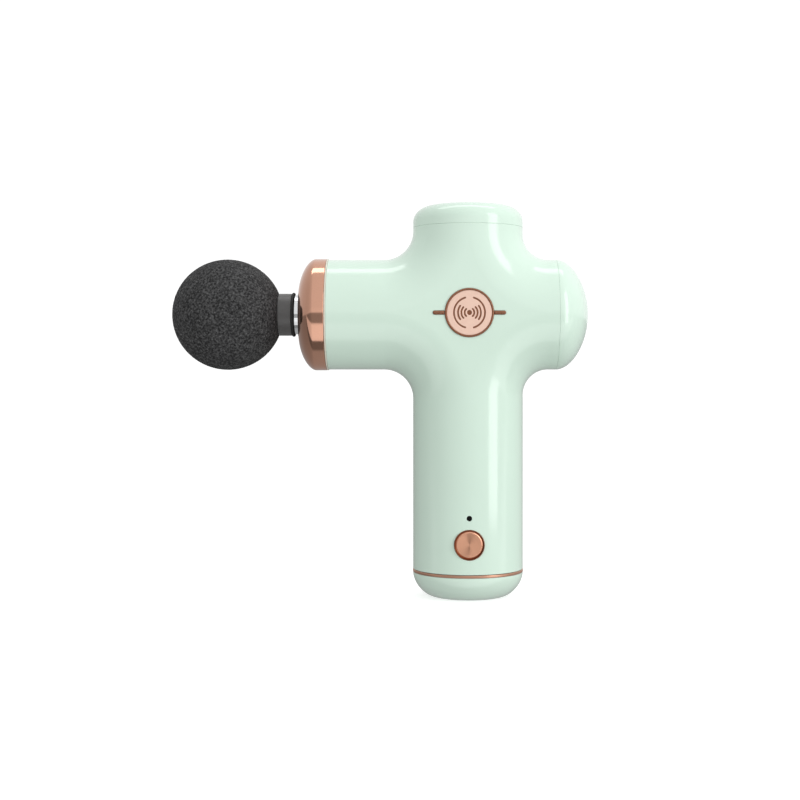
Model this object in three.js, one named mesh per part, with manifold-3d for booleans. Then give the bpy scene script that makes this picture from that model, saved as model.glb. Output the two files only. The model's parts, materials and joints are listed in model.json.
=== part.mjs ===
// A cross-shaped handheld massage gun: a motor in the top stub turns a crank, whose rod drives a piston
// along the barrel, and the foam ball head plugs into the piston. Millimetres, +Z up, origin at the centre
// of the flat base, ball head towards -X, badge and button towards -Y.
import * as THREE from "three";
import { LoftGeometry } from "three/addons/geometries/LoftGeometry.js";
import { mergeVertices } from "three/addons/utils/BufferGeometryUtils.js";
import Module from "manifold-3d";

const wasm = await Module();
wasm.setup();

// Driving dimensions of the housing.
const BODY_R = 22.4;
const WALL = 2.2;
const AXIS_Z = 114.6;
const BARREL_END_X = -56.8;
const REAR_SEAM_X = 35.8;
const TOP_SEAM_Z = 150;
const TOP_Z = 159;
const BASE_SEAM_Z = 9.7;
const TRIM_HEIGHT = 1.1;
const FRONT_FILLET = 11.8;
const REAR_FILLET = 10.3;
const SEAM = 0.2;
const SPIGOT_R = BODY_R - WALL - 0.6;
const SPIGOT_WALL = 2;

// Driving dimensions of the drive.
const CRANK_R = 3;
const ROD_LENGTH = 36;
const ROD_HALF_THICK = 2.2;
const WRIST_PIN_R = 1.5;
const PISTON_R = 8;
const SOCKET_R = 4.1;
const SHAFT_R = 2;
const FIT = 0.1;

// Heights of the drive's layers above the barrel's axis.
const DISC_FROM = ROD_HALF_THICK + 0.5;
const DISC_TO = DISC_FROM + 3.4;
const BRACKET_FROM = DISC_TO + 1.8;
const BRACKET_TO = BRACKET_FROM + 2;
const MOTOR_FROM = BRACKET_TO + SEAM;
const MOTOR_FLANGE_TO = MOTOR_FROM + 1.8;
const TUBE_TO = MOTOR_FROM + 15.4;
const BELL_TO = MOTOR_FROM + 21;

// Driving dimensions of the head, the front face and the button.
const BALL_R = 22.6;
const BALL_X = -98.1;
const COLLAR_R = 8.6;
const NOSE_FRONT_X = -68.8;
const NOSE_R = 22.75;
const BADGE_R = 9.65;
const BUTTON_R = 5.65;
const BUTTON_Z = 23;
const BUTTON_TRAVEL = 0.6;
const LIGHT_Z = 33.5;
const LIGHT_R = 1;

const LARGE_ROUND = 32;
const INNER_ROUND = 24;
const SMALL_ROUND = 16;
const MERGE_MM = 1e-4;
const DEG = Math.PI / 180;

function material(color, metalness, roughness) {
  return new THREE.MeshStandardMaterial({ color, metalness, roughness });
}

const MINT = material(0xd2eadc, 0, 0.2);
const ROSE_GOLD = material(0xd99a7c, 1, 0.18);
const PINK_GOLD = material(0xeec0a8, 1, 0.3);
const DARK_COPPER = material(0x8f5a44, 1, 0.35);
const STEEL = material(0xc9ccd0, 1, 0.2);
const ALUMINIUM = material(0xb8bcc0, 1, 0.35);
const CREAM_PLASTIC = material(0xe6e2d4, 0, 0.5);
const COPPER_WIRE = material(0xb8693a, 1, 0.4);
const GREY_PLASTIC = material(0x60615f, 0, 0.45);
const BLACK_PLASTIC = material(0x1d1d1f, 0, 0.5);
const BLACK_RUBBER = material(0x151515, 0, 0.85);
const RED_RUBBER = material(0x8f1f1c, 0, 0.7);
const BLACK_FOAM = material(0x373737, 0, 0.95);
const BOARD_GREEN = material(0x1f6b45, 0, 0.5);
const CELL_BLUE = material(0x2f6fb0, 0.2, 0.4);
const LIGHT_TINT = material(0x0c0c0c, 0, 0.15);

// A closed geometry as a manifold-3d solid.
function toSolid(geometry) {
  const bare = new THREE.BufferGeometry();
  bare.setAttribute("position", geometry.getAttribute("position"));
  bare.setIndex(geometry.getIndex());
  const merged = mergeVertices(bare, MERGE_MM);
  return new wasm.Manifold(
    new wasm.Mesh({
      numProp: 3,
      vertProperties: merged.attributes.position.array,
      triVerts: new Uint32Array(merged.index.array),
    }),
  );
}

// A manifold-3d solid as a three.js geometry.
function toGeometry(solid) {
  const mesh = solid.getMesh();
  const geometry = new THREE.BufferGeometry();
  geometry.setAttribute("position", new THREE.BufferAttribute(mesh.vertProperties, 3));
  geometry.setIndex(new THREE.BufferAttribute(mesh.triVerts, 1));
  return geometry;
}

// Cuts each tool geometry out of the first one.
function cut(geometry, ...tools) {
  return toGeometry(tools.reduce((solid, tool) => solid.subtract(toSolid(tool)), toSolid(geometry)));
}

// Joins overlapping geometries into one.
function join(geometry, ...others) {
  return toGeometry(others.reduce((solid, other) => solid.add(toSolid(other)), toSolid(geometry)));
}

// A profile of [radius, distance along the axis] turned round the X, Y or Z axis.
function turned(profile, axis, segments = LARGE_ROUND) {
  const points = profile.map(([radius, along]) => new THREE.Vector2(radius, along));
  const geometry = new THREE.LatheGeometry(points, segments);
  if (axis === "z") geometry.rotateX(Math.PI / 2);
  if (axis === "x") geometry.rotateZ(-Math.PI / 2);
  return geometry;
}

// A solid round bar between two places on its axis.
function bar(radius, from, to, axis, segments = SMALL_ROUND) {
  return turned([[0, from], [radius, from], [radius, to], [0, to]], axis, segments);
}

// A ring between two places on its axis.
function ring(inner, outer, from, to, axis, segments = INNER_ROUND) {
  return turned([[inner, from], [outer, from], [outer, to], [inner, to], [inner, from]], axis, segments);
}

// A box between two opposite corners.
function block([x0, y0, z0], [x1, y1, z1]) {
  const geometry = new THREE.BoxGeometry(x1 - x0, y1 - y0, z1 - z0);
  return geometry.translate((x0 + x1) / 2, (y0 + y1) / 2, (z0 + z1) / 2);
}

// Points of an elliptical arc in a profile, from one angle to another.
function ellipse(centreR, centreAlong, radiusR, radiusAlong, fromDeg, toDeg, steps) {
  return Array.from({ length: steps + 1 }, (_, i) => {
    const angle = (fromDeg + ((toDeg - fromDeg) * i) / steps) * DEG;
    return [centreR + radiusR * Math.cos(angle), centreAlong + radiusAlong * Math.sin(angle)];
  });
}

// Points of a rounded shoulder from the flat face out to the side: an ellipse where the fullness is 2, and a
// little flatter below that.
function shoulder(flatR, sideR, rise, fullness, steps) {
  return Array.from({ length: steps + 1 }, (_, i) => {
    const angle = (i / steps) * (Math.PI / 2);
    const across = Math.sin(angle) ** (2 / fullness);
    const down = Math.cos(angle) ** (2 / fullness);
    return [flatR + (sideR - flatR) * across, rise * (1 - down)];
  });
}

// A flat outline in XY pushed up from one height to another.
function plate(shape, from, to, curveSegments = SMALL_ROUND / 2) {
  const geometry = new THREE.ExtrudeGeometry(shape, { depth: to - from, bevelEnabled: false, curveSegments });
  return geometry.translate(0, 0, from);
}

// A round cable along smooth waypoints.
function cable(waypoints, radius) {
  const path = new THREE.CatmullRomCurve3(waypoints.map((point) => new THREE.Vector3(...point)));
  const section = new THREE.Shape().absarc(0, 0, radius, 0, 2 * Math.PI);
  const steps = Math.ceil(path.getLength() / (5 * radius));
  return new THREE.ExtrudeGeometry(section, { extrudePath: path, steps, curveSegments: 4 });
}

function group(...children) {
  const made = new THREE.Group();
  made.add(...children);
  return made;
}

function piece(name, geometry, surface) {
  const mesh = new THREE.Mesh(geometry, surface);
  mesh.name = name;
  return mesh;
}

// Housing: two equal tubes that cross, blended like four pipe elbows. Every section at one depth is a cross
// whose inner corners are arcs about the same four centres.
function crossOutline(width, ends) {
  const quadrants = [
    { sx: 1, sz: 1, fillet: REAR_FILLET },
    { sx: -1, sz: 1, fillet: FRONT_FILLET },
    { sx: -1, sz: -1, fillet: FRONT_FILLET },
    { sx: 1, sz: -1, fillet: REAR_FILLET },
  ];
  const steps = 6;
  const points = [];
  for (const { sx, sz, fillet } of quadrants) {
    const centre = BODY_R + fillet;
    const radius = centre - width;
    const corner = [];
    corner.push([sx > 0 ? ends.rear : ends.front, sz * width]);
    for (let i = 0; i <= steps; i += 1) {
      const angle = (i / steps) * (Math.PI / 2);
      corner.push([sx * (centre - radius * Math.sin(angle)), sz * (centre - radius * Math.cos(angle))]);
    }
    corner.push([sx * width, sz > 0 ? ends.top : ends.bottom]);
    if (sx * sz < 0) corner.reverse();
    points.push(...corner);
  }
  return points;
}

function crossSolid(radius, ends) {
  const slices = 12;
  const steepest = 86 * DEG;
  const sections = [];
  for (let i = 0; i <= slices; i += 1) {
    const angle = -steepest + (2 * steepest * i) / slices;
    const outline = crossOutline(radius * Math.cos(angle), ends);
    sections.push(outline.map(([x, z]) => new THREE.Vector3(x, radius * Math.sin(angle), z)));
  }
  sections.forEach((section) => section.reverse());
  return new LoftGeometry(sections, { capStart: true, capEnd: true });
}

const PAST = 5; // how far a cutting tool runs past the piece that it cuts
const FAR = 200; // larger than the whole object
const SHELL_BOTTOM = BASE_SEAM_Z + SEAM + TRIM_HEIGHT + SEAM - AXIS_Z;
const SHELL_ENDS = { front: BARREL_END_X, rear: REAR_SEAM_X, top: TOP_SEAM_Z - AXIS_Z, bottom: SHELL_BOTTOM };
const CAVITY_ENDS = {
  front: SHELL_ENDS.front - PAST,
  rear: SHELL_ENDS.rear + PAST,
  top: SHELL_ENDS.top + PAST,
  bottom: SHELL_ENDS.bottom - PAST,
};
const BADGE_POCKET_Y = -BODY_R + 1.4;
const BAR_START_X = 9.8;
const BAR_END_X = 14.4;
const BAR_HALF_HEIGHT = 0.75;
const BOARD_FRONT_Y = -12.8;
const BOARD_THICK = 1.4;
const BOSS_HEIGHTS = [46, 70];
const USB_Z = 21.8;
const USB_HALF_WIDTH = 4.5;
const USB_HALF_HEIGHT = 1.6;

function barShape(growth) {
  const shape = new THREE.Shape();
  const radius = BAR_HALF_HEIGHT + growth;
  shape.moveTo(BAR_START_X - growth, -radius);
  shape.lineTo(BAR_END_X - BAR_HALF_HEIGHT, -radius);
  shape.absarc(BAR_END_X - BAR_HALF_HEIGHT, 0, radius, -Math.PI / 2, Math.PI / 2);
  shape.lineTo(BAR_START_X - growth, radius);
  return shape;
}

// A badge bar standing on the front of the barrel, on the right or the left of the badge.
function badgeBar(side, growth, from, to) {
  const geometry = plate(barShape(growth), -to, -from, 6).rotateX(Math.PI / 2);
  return side > 0 ? geometry : geometry.rotateZ(Math.PI).translate(0, from + to, 0);
}

function stadium(halfWidth, halfHeight) {
  const shape = new THREE.Shape();
  shape.absarc(halfWidth - halfHeight, 0, halfHeight, -Math.PI / 2, Math.PI / 2);
  shape.absarc(halfHeight - halfWidth, 0, halfHeight, Math.PI / 2, 1.5 * Math.PI);
  return shape;
}

// A stadium outline in XZ that runs from one depth y to another.
function slotBlock(halfWidth, halfHeight, from, to) {
  return plate(stadium(halfWidth, halfHeight), -to, -from, 6).rotateX(Math.PI / 2);
}

function shells() {
  const tube = cut(crossSolid(BODY_R, SHELL_ENDS), crossSolid(BODY_R - WALL, CAVITY_ENDS));
  const inWall = BODY_R - 1.2;
  const frontInsideY = -15;
  const bosses = BOSS_HEIGHTS.map((z) => {
    return ring(1.2, 3, -inWall, BOARD_FRONT_Y - SEAM, "y", SMALL_ROUND).translate(0, 0, z - AXIS_Z);
  });
  // A pair of ribs in each half grips the motor bracket's edge.
  const ribThick = 1.6;
  const grips = (side) => [BRACKET_FROM - SEAM - ribThick, BRACKET_TO + SEAM].map((from) => {
    const rib = block([-4.5, 18, from], [4.5, inWall, from + ribThick]);
    return side > 0 ? rib : rib.rotateZ(Math.PI);
  });
  const frontHalf = cut(tube, block([-FAR, SEAM / -2, -FAR], [FAR, FAR, FAR]));
  const backHalf = cut(tube, block([-FAR, -FAR, -FAR], [FAR, SEAM / 2, FAR]));
  const front = cut(
    join(frontHalf, ...bosses, ...grips(-1)),
    bar(BADGE_R + 0.3, -FAR, BADGE_POCKET_Y, "y", LARGE_ROUND),
    badgeBar(1, 0.25, -FAR, BADGE_POCKET_Y),
    badgeBar(-1, 0.25, -FAR, BADGE_POCKET_Y),
    bar(BUTTON_R + 0.6, -FAR, frontInsideY, "y").translate(0, 0, BUTTON_Z - AXIS_Z),
    bar(LIGHT_R + 0.3, -FAR, frontInsideY, "y").translate(0, 0, LIGHT_Z - AXIS_Z),
  );
  const usbSlot = slotBlock(USB_HALF_WIDTH + 0.4, USB_HALF_HEIGHT + 0.4, 15, FAR);
  const back = cut(join(backHalf, ...grips(1)), usbSlot.translate(0, 0, USB_Z - AXIS_Z));
  const made = group(piece("front_shell", front, MINT), piece("back_shell", back, MINT));
  made.position.z = AXIS_Z;
  return made;
}

// The three end caps, each a cup whose inner spigot slides into the tube that it closes.
function caps() {
  const spigotIn = SPIGOT_R - SPIGOT_WALL;
  const reach = 3.2;
  const floor = 2.4;

  const baseFlatR = 14;
  const baseRise = 9.5;
  const base = turned(
    [
      [0, 0],
      ...shoulder(baseFlatR, BODY_R, baseRise, 1.7, 8),
      [BODY_R, BASE_SEAM_Z],
      [SPIGOT_R, BASE_SEAM_Z],
      [SPIGOT_R, BASE_SEAM_Z + reach + TRIM_HEIGHT],
      [spigotIn, BASE_SEAM_Z + reach + TRIM_HEIGHT],
      [spigotIn, baseRise],
      [baseFlatR, floor],
      [0, floor],
    ],
    "z",
  );
  const trimFrom = BASE_SEAM_Z + SEAM;
  const trim = ring(SPIGOT_R + 0.3, BODY_R + 0.1, trimFrom, trimFrom + TRIM_HEIGHT, "z", LARGE_ROUND);

  const topFlatR = 14.4;
  const topDrop = 6.5;
  const topFrom = TOP_SEAM_Z + SEAM;
  const top = turned(
    [
      [0, TOP_Z - floor],
      [topFlatR, TOP_Z - floor],
      [spigotIn, TOP_Z - topDrop],
      [spigotIn, topFrom - reach],
      [SPIGOT_R, topFrom - reach],
      [SPIGOT_R, topFrom],
      [BODY_R, topFrom],
      ...ellipse(topFlatR, TOP_Z - topDrop, BODY_R - topFlatR, topDrop, 0, 90, 6),
      [0, TOP_Z],
    ],
    "z",
  );

  const apexX = 49;
  const domeLength = 12.9;
  const rearFrom = REAR_SEAM_X + SEAM;
  const dome = shoulder(0, BODY_R, domeLength, 1.85, 10).map(([radius, along]) => [radius, apexX - along]);
  const rear = turned(
    [
      [0, apexX - 2 * floor],
      [spigotIn, rearFrom],
      [spigotIn, rearFrom - reach],
      [SPIGOT_R, rearFrom - reach],
      [SPIGOT_R, rearFrom],
      [BODY_R, rearFrom],
      ...dome.reverse(),
    ],
    "x",
  );
  rear.translate(0, 0, AXIS_Z);

  return group(
    piece("base_cap", base, MINT),
    piece("base_trim_ring", trim, ROSE_GOLD),
    piece("top_cap", top, MINT),
    piece("rear_cap", rear, MINT),
  );
}

// The barrel's end: the polished ring, the pale gasket behind it, the seal in its opening, and the bush
// that guides the piston.
const OPENING_R = 10.5;
const NOSE_FLOOR = 2.4;
const GASKET_THICK = 0.45;
const GASKET_GAP = 0.1;

function nose() {
  const edgeLength = 6.8;
  const gasketIn = SPIGOT_R + 0.2;
  const gasketR = NOSE_R - 0.05;
  const gasketTo = BARREL_END_X - GASKET_GAP;
  const gasketFrom = gasketTo - GASKET_THICK;
  const rearX = gasketFrom - GASKET_GAP;
  const insideX = NOSE_FRONT_X + NOSE_FLOOR;
  const insideR = NOSE_R - 2;
  const sealFrom = NOSE_FRONT_X + 0.9;
  const ringProfile = [
    ...shoulder(OPENING_R, NOSE_R, edgeLength, 1.7, 9).map(([radius, along]) => [radius, NOSE_FRONT_X + along]),
    [NOSE_R, rearX],
    [insideR, rearX],
    [insideR, insideX + 3.2],
    [insideR - 5, insideX],
    [OPENING_R, insideX],
    [OPENING_R, NOSE_FRONT_X],
  ];
  const bushFrom = insideX + 0.4;
  const bushTo = bushFrom + 20;
  const hubR = PISTON_R + FIT + 2;
  const tubeR = hubR + 2.4;
  const webTo = bushFrom + 4;
  const skirtR = SPIGOT_R - FIT;
  const skirtIn = skirtR - SPIGOT_WALL;
  const skirtTo = bushFrom + 12;
  const carrierProfile = [
    [hubR + FIT, bushFrom],
    [skirtR - 5.3, bushFrom],
    [skirtR, bushFrom + 3.4],
    [skirtR, skirtTo],
    [skirtIn, skirtTo],
    [skirtIn, webTo],
    [tubeR, webTo],
    [tubeR, bushTo],
    [hubR + FIT, bushTo],
    [hubR + FIT, bushFrom],
  ];
  const made = group(
    piece("nose_ring", turned(ringProfile, "x"), ROSE_GOLD),
    piece("nose_gasket", ring(gasketIn, gasketR, gasketFrom, gasketTo, "x", LARGE_ROUND), CREAM_PLASTIC),
    piece("nose_seal", ring(PISTON_R + 0.2, OPENING_R - 0.2, sealFrom, insideX, "x"), BLACK_RUBBER),
    piece("bush_carrier", turned(carrierProfile, "x", INNER_ROUND), GREY_PLASTIC),
    piece("guide_bush", ring(PISTON_R + FIT, hubR, bushFrom, bushTo, "x"), CREAM_PLASTIC),
  );
  made.position.z = AXIS_Z;
  return made;
}

// Front trim: the round badge with its rim, and a short bar on each side of it.
function badge() {
  const back = BADGE_POCKET_Y - 0.2;
  const rimWide = 0.6;
  const plateR = BADGE_R - rimWide - 0.15;
  const barFront = -BODY_R - 0.4;
  const made = group(
    piece("badge_plate", bar(plateR, -BODY_R - 0.35, back, "y", LARGE_ROUND), PINK_GOLD),
    piece("badge_rim", ring(BADGE_R - rimWide, BADGE_R, -BODY_R - 0.6, back, "y"), DARK_COPPER),
    piece("badge_bar_right", badgeBar(1, 0, barFront, back), DARK_COPPER),
    piece("badge_bar_left", badgeBar(-1, 0, barFront, back), DARK_COPPER),
  );
  made.position.z = AXIS_Z;
  return made;
}

// Crank drive. The motor stands on the handle's axis in the top stub, its shaft pointing down to the crank.
const TUBE_IN = 4.3;
const TUBE_OUT = 5.6;
const SCREW_CIRCLE_R = 10;
const SCREW_COUNT = 3;

function aroundAxis(count, radius, startDeg, make) {
  return Array.from({ length: count }, (_, i) => {
    const angle = (startDeg + (360 * i) / count) * DEG;
    return make(radius * Math.cos(angle), radius * Math.sin(angle), i);
  });
}

function motor() {
  const shankR = 1;
  const holes = (from, to) => aroundAxis(SCREW_COUNT, SCREW_CIRCLE_R, 30, (x, y) => {
    return bar(shankR + 0.3, from, to, "z", 12).translate(x, y, 0);
  });
  const leadNotch = block([-8, -FAR, BRACKET_FROM - PAST], [-4, -14.4, BRACKET_TO + PAST]);
  const bracket = cut(
    ring(7, SPIGOT_R, BRACKET_FROM, BRACKET_TO, "z"),
    ...holes(BRACKET_FROM - PAST, BRACKET_TO + PAST),
    leadNotch,
  );
  const base = cut(
    turned(
      [
        [TUBE_IN, MOTOR_FROM],
        [13, MOTOR_FROM],
        [13, MOTOR_FLANGE_TO],
        [TUBE_OUT, MOTOR_FLANGE_TO],
        [TUBE_OUT, TUBE_TO],
        [TUBE_IN, TUBE_TO],
        [TUBE_IN, MOTOR_FROM],
      ],
      "z",
      SMALL_ROUND,
    ),
    ...holes(MOTOR_FROM - PAST, MOTOR_FLANGE_TO + 0.1),
  );

  const teeth = 9;
  const toothR = 13.3;
  const slotR = 9.2;
  const toothShare = 0.78;
  const core = new THREE.Shape();
  for (let i = 0; i < teeth; i += 1) {
    const start = (2 * Math.PI * i) / teeth;
    const end = start + (2 * Math.PI * toothShare) / teeth;
    const next = (2 * Math.PI * (i + 1)) / teeth;
    for (const [radius, angle] of [[toothR, start], [toothR, end], [slotR, end], [slotR, next]]) {
      const [x, y] = [radius * Math.cos(angle), radius * Math.sin(angle)];
      if (i === 0 && radius === toothR && angle === start) core.moveTo(x, y);
      else core.lineTo(x, y);
    }
  }
  core.holes.push(new THREE.Path().absarc(0, 0, TUBE_OUT + 0.2, 0, 2 * Math.PI));
  const stator = plate(core, MOTOR_FLANGE_TO + 1.2, TUBE_TO - 1);

  const bearing = (from) => ring(SHAFT_R + FIT, TUBE_IN - FIT, from, from + 3, "z", SMALL_ROUND);
  const screws = aroundAxis(SCREW_COUNT, SCREW_CIRCLE_R, 30, (x, y, i) => {
    const headR = 1.9;
    const headTo = BRACKET_FROM - SEAM;
    const headFrom = headTo - 1.1;
    const shankTo = MOTOR_FLANGE_TO - SEAM;
    const profile = [[0, headFrom], [headR, headFrom], [headR, headTo], [shankR, headTo], [shankR, shankTo],
      [0, shankTo]];
    return piece(`motor_screw_${i + 1}`, turned(profile, "z", 12).translate(x, y, 0), STEEL);
  });
  return group(
    piece("motor_bracket", bracket, ALUMINIUM),
    piece("motor_base", base, ALUMINIUM),
    piece("motor_stator", stator, COPPER_WIRE),
    piece("lower_bearing", bearing(MOTOR_FROM + 0.2), STEEL),
    piece("upper_bearing", bearing(TUBE_TO - 3.2), STEEL),
    ...screws,
  );
}

function rotor() {
  const bellR = 17.2;
  const bellIn = 15.4;
  const bellFrom = MOTOR_FLANGE_TO + 0.6;
  const hubBore = SHAFT_R + FIT;
  const bell = turned(
    [
      [hubBore, BELL_TO - 2],
      [bellIn, BELL_TO - 2],
      [bellIn, bellFrom],
      [bellR, bellFrom],
      [bellR, BELL_TO - 1],
      [bellR - 1, BELL_TO],
      [hubBore, BELL_TO],
      [hubBore, BELL_TO - 2],
    ],
    "z",
    INNER_ROUND,
  );
  const magnets = ring(13.9, bellIn - 0.2, MOTOR_FLANGE_TO + 1, TUBE_TO - 1, "z");

  const hubR = 7;
  const counterR = 14;
  const halfSweep = 65 * DEG;
  const outline = new THREE.Shape();
  outline.absarc(0, 0, hubR, -Math.PI + halfSweep, Math.PI - halfSweep);
  outline.absarc(0, 0, counterR, Math.PI - halfSweep, Math.PI + halfSweep);
  outline.holes.push(new THREE.Path().absarc(0, 0, SHAFT_R + FIT, 0, 2 * Math.PI));
  const pinR = 2;
  const pinHole = bar(pinR + FIT, DISC_FROM - 1, DISC_TO + 1, "z").translate(CRANK_R, 0, 0);
  // The pin's bore opens into the shaft's, and the shaft stops above the pin's head.
  const disc = cut(plate(outline, DISC_FROM, DISC_TO), pinHole);
  const pin = bar(pinR, -ROD_HALF_THICK - 0.4, DISC_FROM + 1.5, "z").translate(CRANK_R, 0, 0);
  return group(
    piece("motor_shaft", bar(SHAFT_R, DISC_FROM + 1.8, BELL_TO + 0.5, "z"), STEEL),
    piece("motor_bell", bell, STEEL),
    piece("motor_magnets", magnets, STEEL),
    piece("crank_disc", disc, STEEL),
    piece("crank_pin", pin, STEEL),
  );
}

// The rod lies level along the barrel, its big end on the crank pin, here at the far side from the head.
const WRIST_X = CRANK_R - ROD_LENGTH;
const BEARING_IN = 2 + FIT;
const BEARING_OUT = 4.5;

function rod() {
  const bigR = 6.6;
  const smallR = 4.1;
  const lean = Math.asin((bigR - smallR) / ROD_LENGTH);
  const outline = new THREE.Shape();
  outline.absarc(CRANK_R, 0, bigR, -Math.PI / 2 - lean, Math.PI / 2 + lean);
  outline.absarc(WRIST_X, 0, smallR, Math.PI / 2 + lean, 1.5 * Math.PI - lean);
  outline.holes.push(new THREE.Path().absarc(CRANK_R, 0, BEARING_OUT + FIT, 0, 2 * Math.PI));
  outline.holes.push(new THREE.Path().absarc(WRIST_X, 0, WRIST_PIN_R + FIT, 0, 2 * Math.PI));
  const bearing = ring(BEARING_IN, BEARING_OUT, -ROD_HALF_THICK, ROD_HALF_THICK, "z", SMALL_ROUND);
  return group(
    piece("connecting_rod", plate(outline, -ROD_HALF_THICK, ROD_HALF_THICK), ALUMINIUM),
    piece("pin_bearing", bearing.translate(CRANK_R, 0, 0), STEEL),
    piece("wrist_pin", bar(WRIST_PIN_R, -5.2, 5.2, "z").translate(WRIST_X, 0, 0), STEEL),
  );
}

// The piston: a round bar with the head's socket in its front end and a fork at its rear end. The fork's
// ears are slotted across, because the wrist pin moves sideways with the crank and the piston runs straight.
const PISTON_FRONT_X = NOSE_FRONT_X - 1.6;
const SOCKET_DEPTH = 14;

function piston() {
  const forkFrom = WRIST_X - 5.5;
  const rearX = WRIST_X + 5.2;
  const earHalf = 5;
  const forkHalf = ROD_HALF_THICK + 0.4;
  const slotHalfX = WRIST_PIN_R + 0.21 * CRANK_R + 0.2;
  const slotHalfY = CRANK_R + WRIST_PIN_R + 0.25;
  const boreR = 4.6;
  const socketEndX = PISTON_FRONT_X + SOCKET_DEPTH + 1;
  const body = turned(
    [
      [boreR, forkFrom + 1],
      [boreR, socketEndX],
      [SOCKET_R, socketEndX - 1],
      [SOCKET_R, PISTON_FRONT_X],
      [PISTON_R, PISTON_FRONT_X],
      [PISTON_R, rearX],
      [boreR, rearX],
      [boreR, forkFrom + 1],
    ],
    "x",
  );
  return piece(
    "piston",
    cut(
      body,
      block([forkFrom, -FAR, -forkHalf], [FAR, FAR, forkHalf]),
      block([WRIST_X - slotHalfX, -slotHalfY, -FAR], [WRIST_X + slotHalfX, slotHalfY, FAR]),
      block([forkFrom, -FAR, earHalf], [FAR, FAR, FAR]),
      block([forkFrom, -FAR, -FAR], [FAR, FAR, -earHalf]),
    ),
    ALUMINIUM,
  );
}

// The massage head: a foam ball moulded on a stem, whose collar stops against the piston through a washer.
function head() {
  const washerR = COLLAR_R + 0.4;
  const washerTo = PISTON_FRONT_X - SEAM;
  const washerFrom = washerTo - 1.1;
  const collarTo = washerFrom - SEAM;
  const collarFrom = collarTo - 5.1;
  const coreR = 5.5;
  const coreFrom = BALL_X + 4;
  const stemR = SOCKET_R - FIT;
  const stemTo = PISTON_FRONT_X + SOCKET_DEPTH - 0.6;
  const ballFlatX = collarFrom - SEAM;
  const flatHalfAngle = Math.acos((ballFlatX - BALL_X) / BALL_R) / DEG;
  const boreR = coreR + 0.3;
  const boreEndX = coreFrom - 0.3;
  const ball = turned(
    [
      [0, BALL_X - BALL_R],
      ...ellipse(0, BALL_X, BALL_R, BALL_R, -90, 90 - flatHalfAngle, 12).slice(1),
      [boreR, ballFlatX],
      [boreR, boreEndX],
      [0, boreEndX],
    ],
    "x",
  );
  const stem = turned(
    [
      [0, coreFrom],
      [coreR, coreFrom],
      [coreR, collarFrom],
      [COLLAR_R, collarFrom],
      [COLLAR_R, collarTo],
      [stemR, collarTo],
      [stemR, stemTo - 1],
      [stemR - 0.8, stemTo],
      [0, stemTo],
    ],
    "x",
  );
  return group(
    piece("head_ball", ball, BLACK_FOAM),
    piece("head_stem", stem, GREY_PLASTIC),
    piece("head_washer", ring(stemR + SEAM, washerR, washerFrom, washerTo, "x"), BLACK_RUBBER),
  );
}

// Button and light on the handle's front, with the board, switch and socket behind them.
const BEZEL_FRONT_Y = -BODY_R - 0.05;
const BUTTON_FRONT_Y = -BODY_R + 0.05;
const SWITCH_FRONT_Y = BOARD_FRONT_Y - 1.8;

function controls() {
  const stemR = 1.6;
  const capBackY = -19.6;
  const flangeFrom = -18.2;
  const flangeTo = -17.2;
  const stemTo = SWITCH_FRONT_Y - 1.1;
  const button = turned(
    [
      [0, BUTTON_FRONT_Y],
      [BUTTON_R - 0.4, BUTTON_FRONT_Y],
      [BUTTON_R, BUTTON_FRONT_Y + 0.4],
      [BUTTON_R, flangeFrom],
      [BUTTON_R + 1, flangeFrom],
      [BUTTON_R + 1, flangeTo],
      [stemR, flangeTo],
      [stemR, stemTo],
      [0, stemTo],
    ],
    "y",
  );
  const plungerR = 1.2;
  const plungerTo = SWITCH_FRONT_Y + 0.3;
  const pocket = bar(plungerR + 0.3, -FAR, plungerTo + BUTTON_TRAVEL + 0.3, "y");
  const switchBody = block([-3, SWITCH_FRONT_Y, -3], [3, BOARD_FRONT_Y - SEAM, 3]);
  const made = group(
    piece("power_button", button, ROSE_GOLD),
    piece("button_bezel", ring(BUTTON_R + 0.1, BUTTON_R + 0.4, BEZEL_FRONT_Y, capBackY, "y"), DARK_COPPER),
    piece("switch_plunger", bar(plungerR, stemTo + 0.2, plungerTo, "y"), BLACK_PLASTIC),
    piece("tact_switch", cut(switchBody, pocket), BLACK_PLASTIC),
  );
  made.position.z = BUTTON_Z;

  const ledFront = BOARD_FRONT_Y - 1.2;
  const light = group(
    piece("status_window", bar(LIGHT_R, -BODY_R + 0.1, ledFront - SEAM, "y"), LIGHT_TINT),
    piece("status_led", block([-1.6, ledFront, -0.8], [1.6, BOARD_FRONT_Y - SEAM, 0.8]), CREAM_PLASTIC),
  );
  light.position.z = LIGHT_Z;
  return group(made, light);
}

const BOARD_BACK_Y = BOARD_FRONT_Y + BOARD_THICK;
const BOARD_HALF_WIDTH = 13;
const BOARD_BOTTOM_Z = 16;
const BOARD_TOP_Z = 76;
const CHARGE_BOARD_Z = 18.4;
const CHARGE_BOARD_THICK = 1.2;

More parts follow.
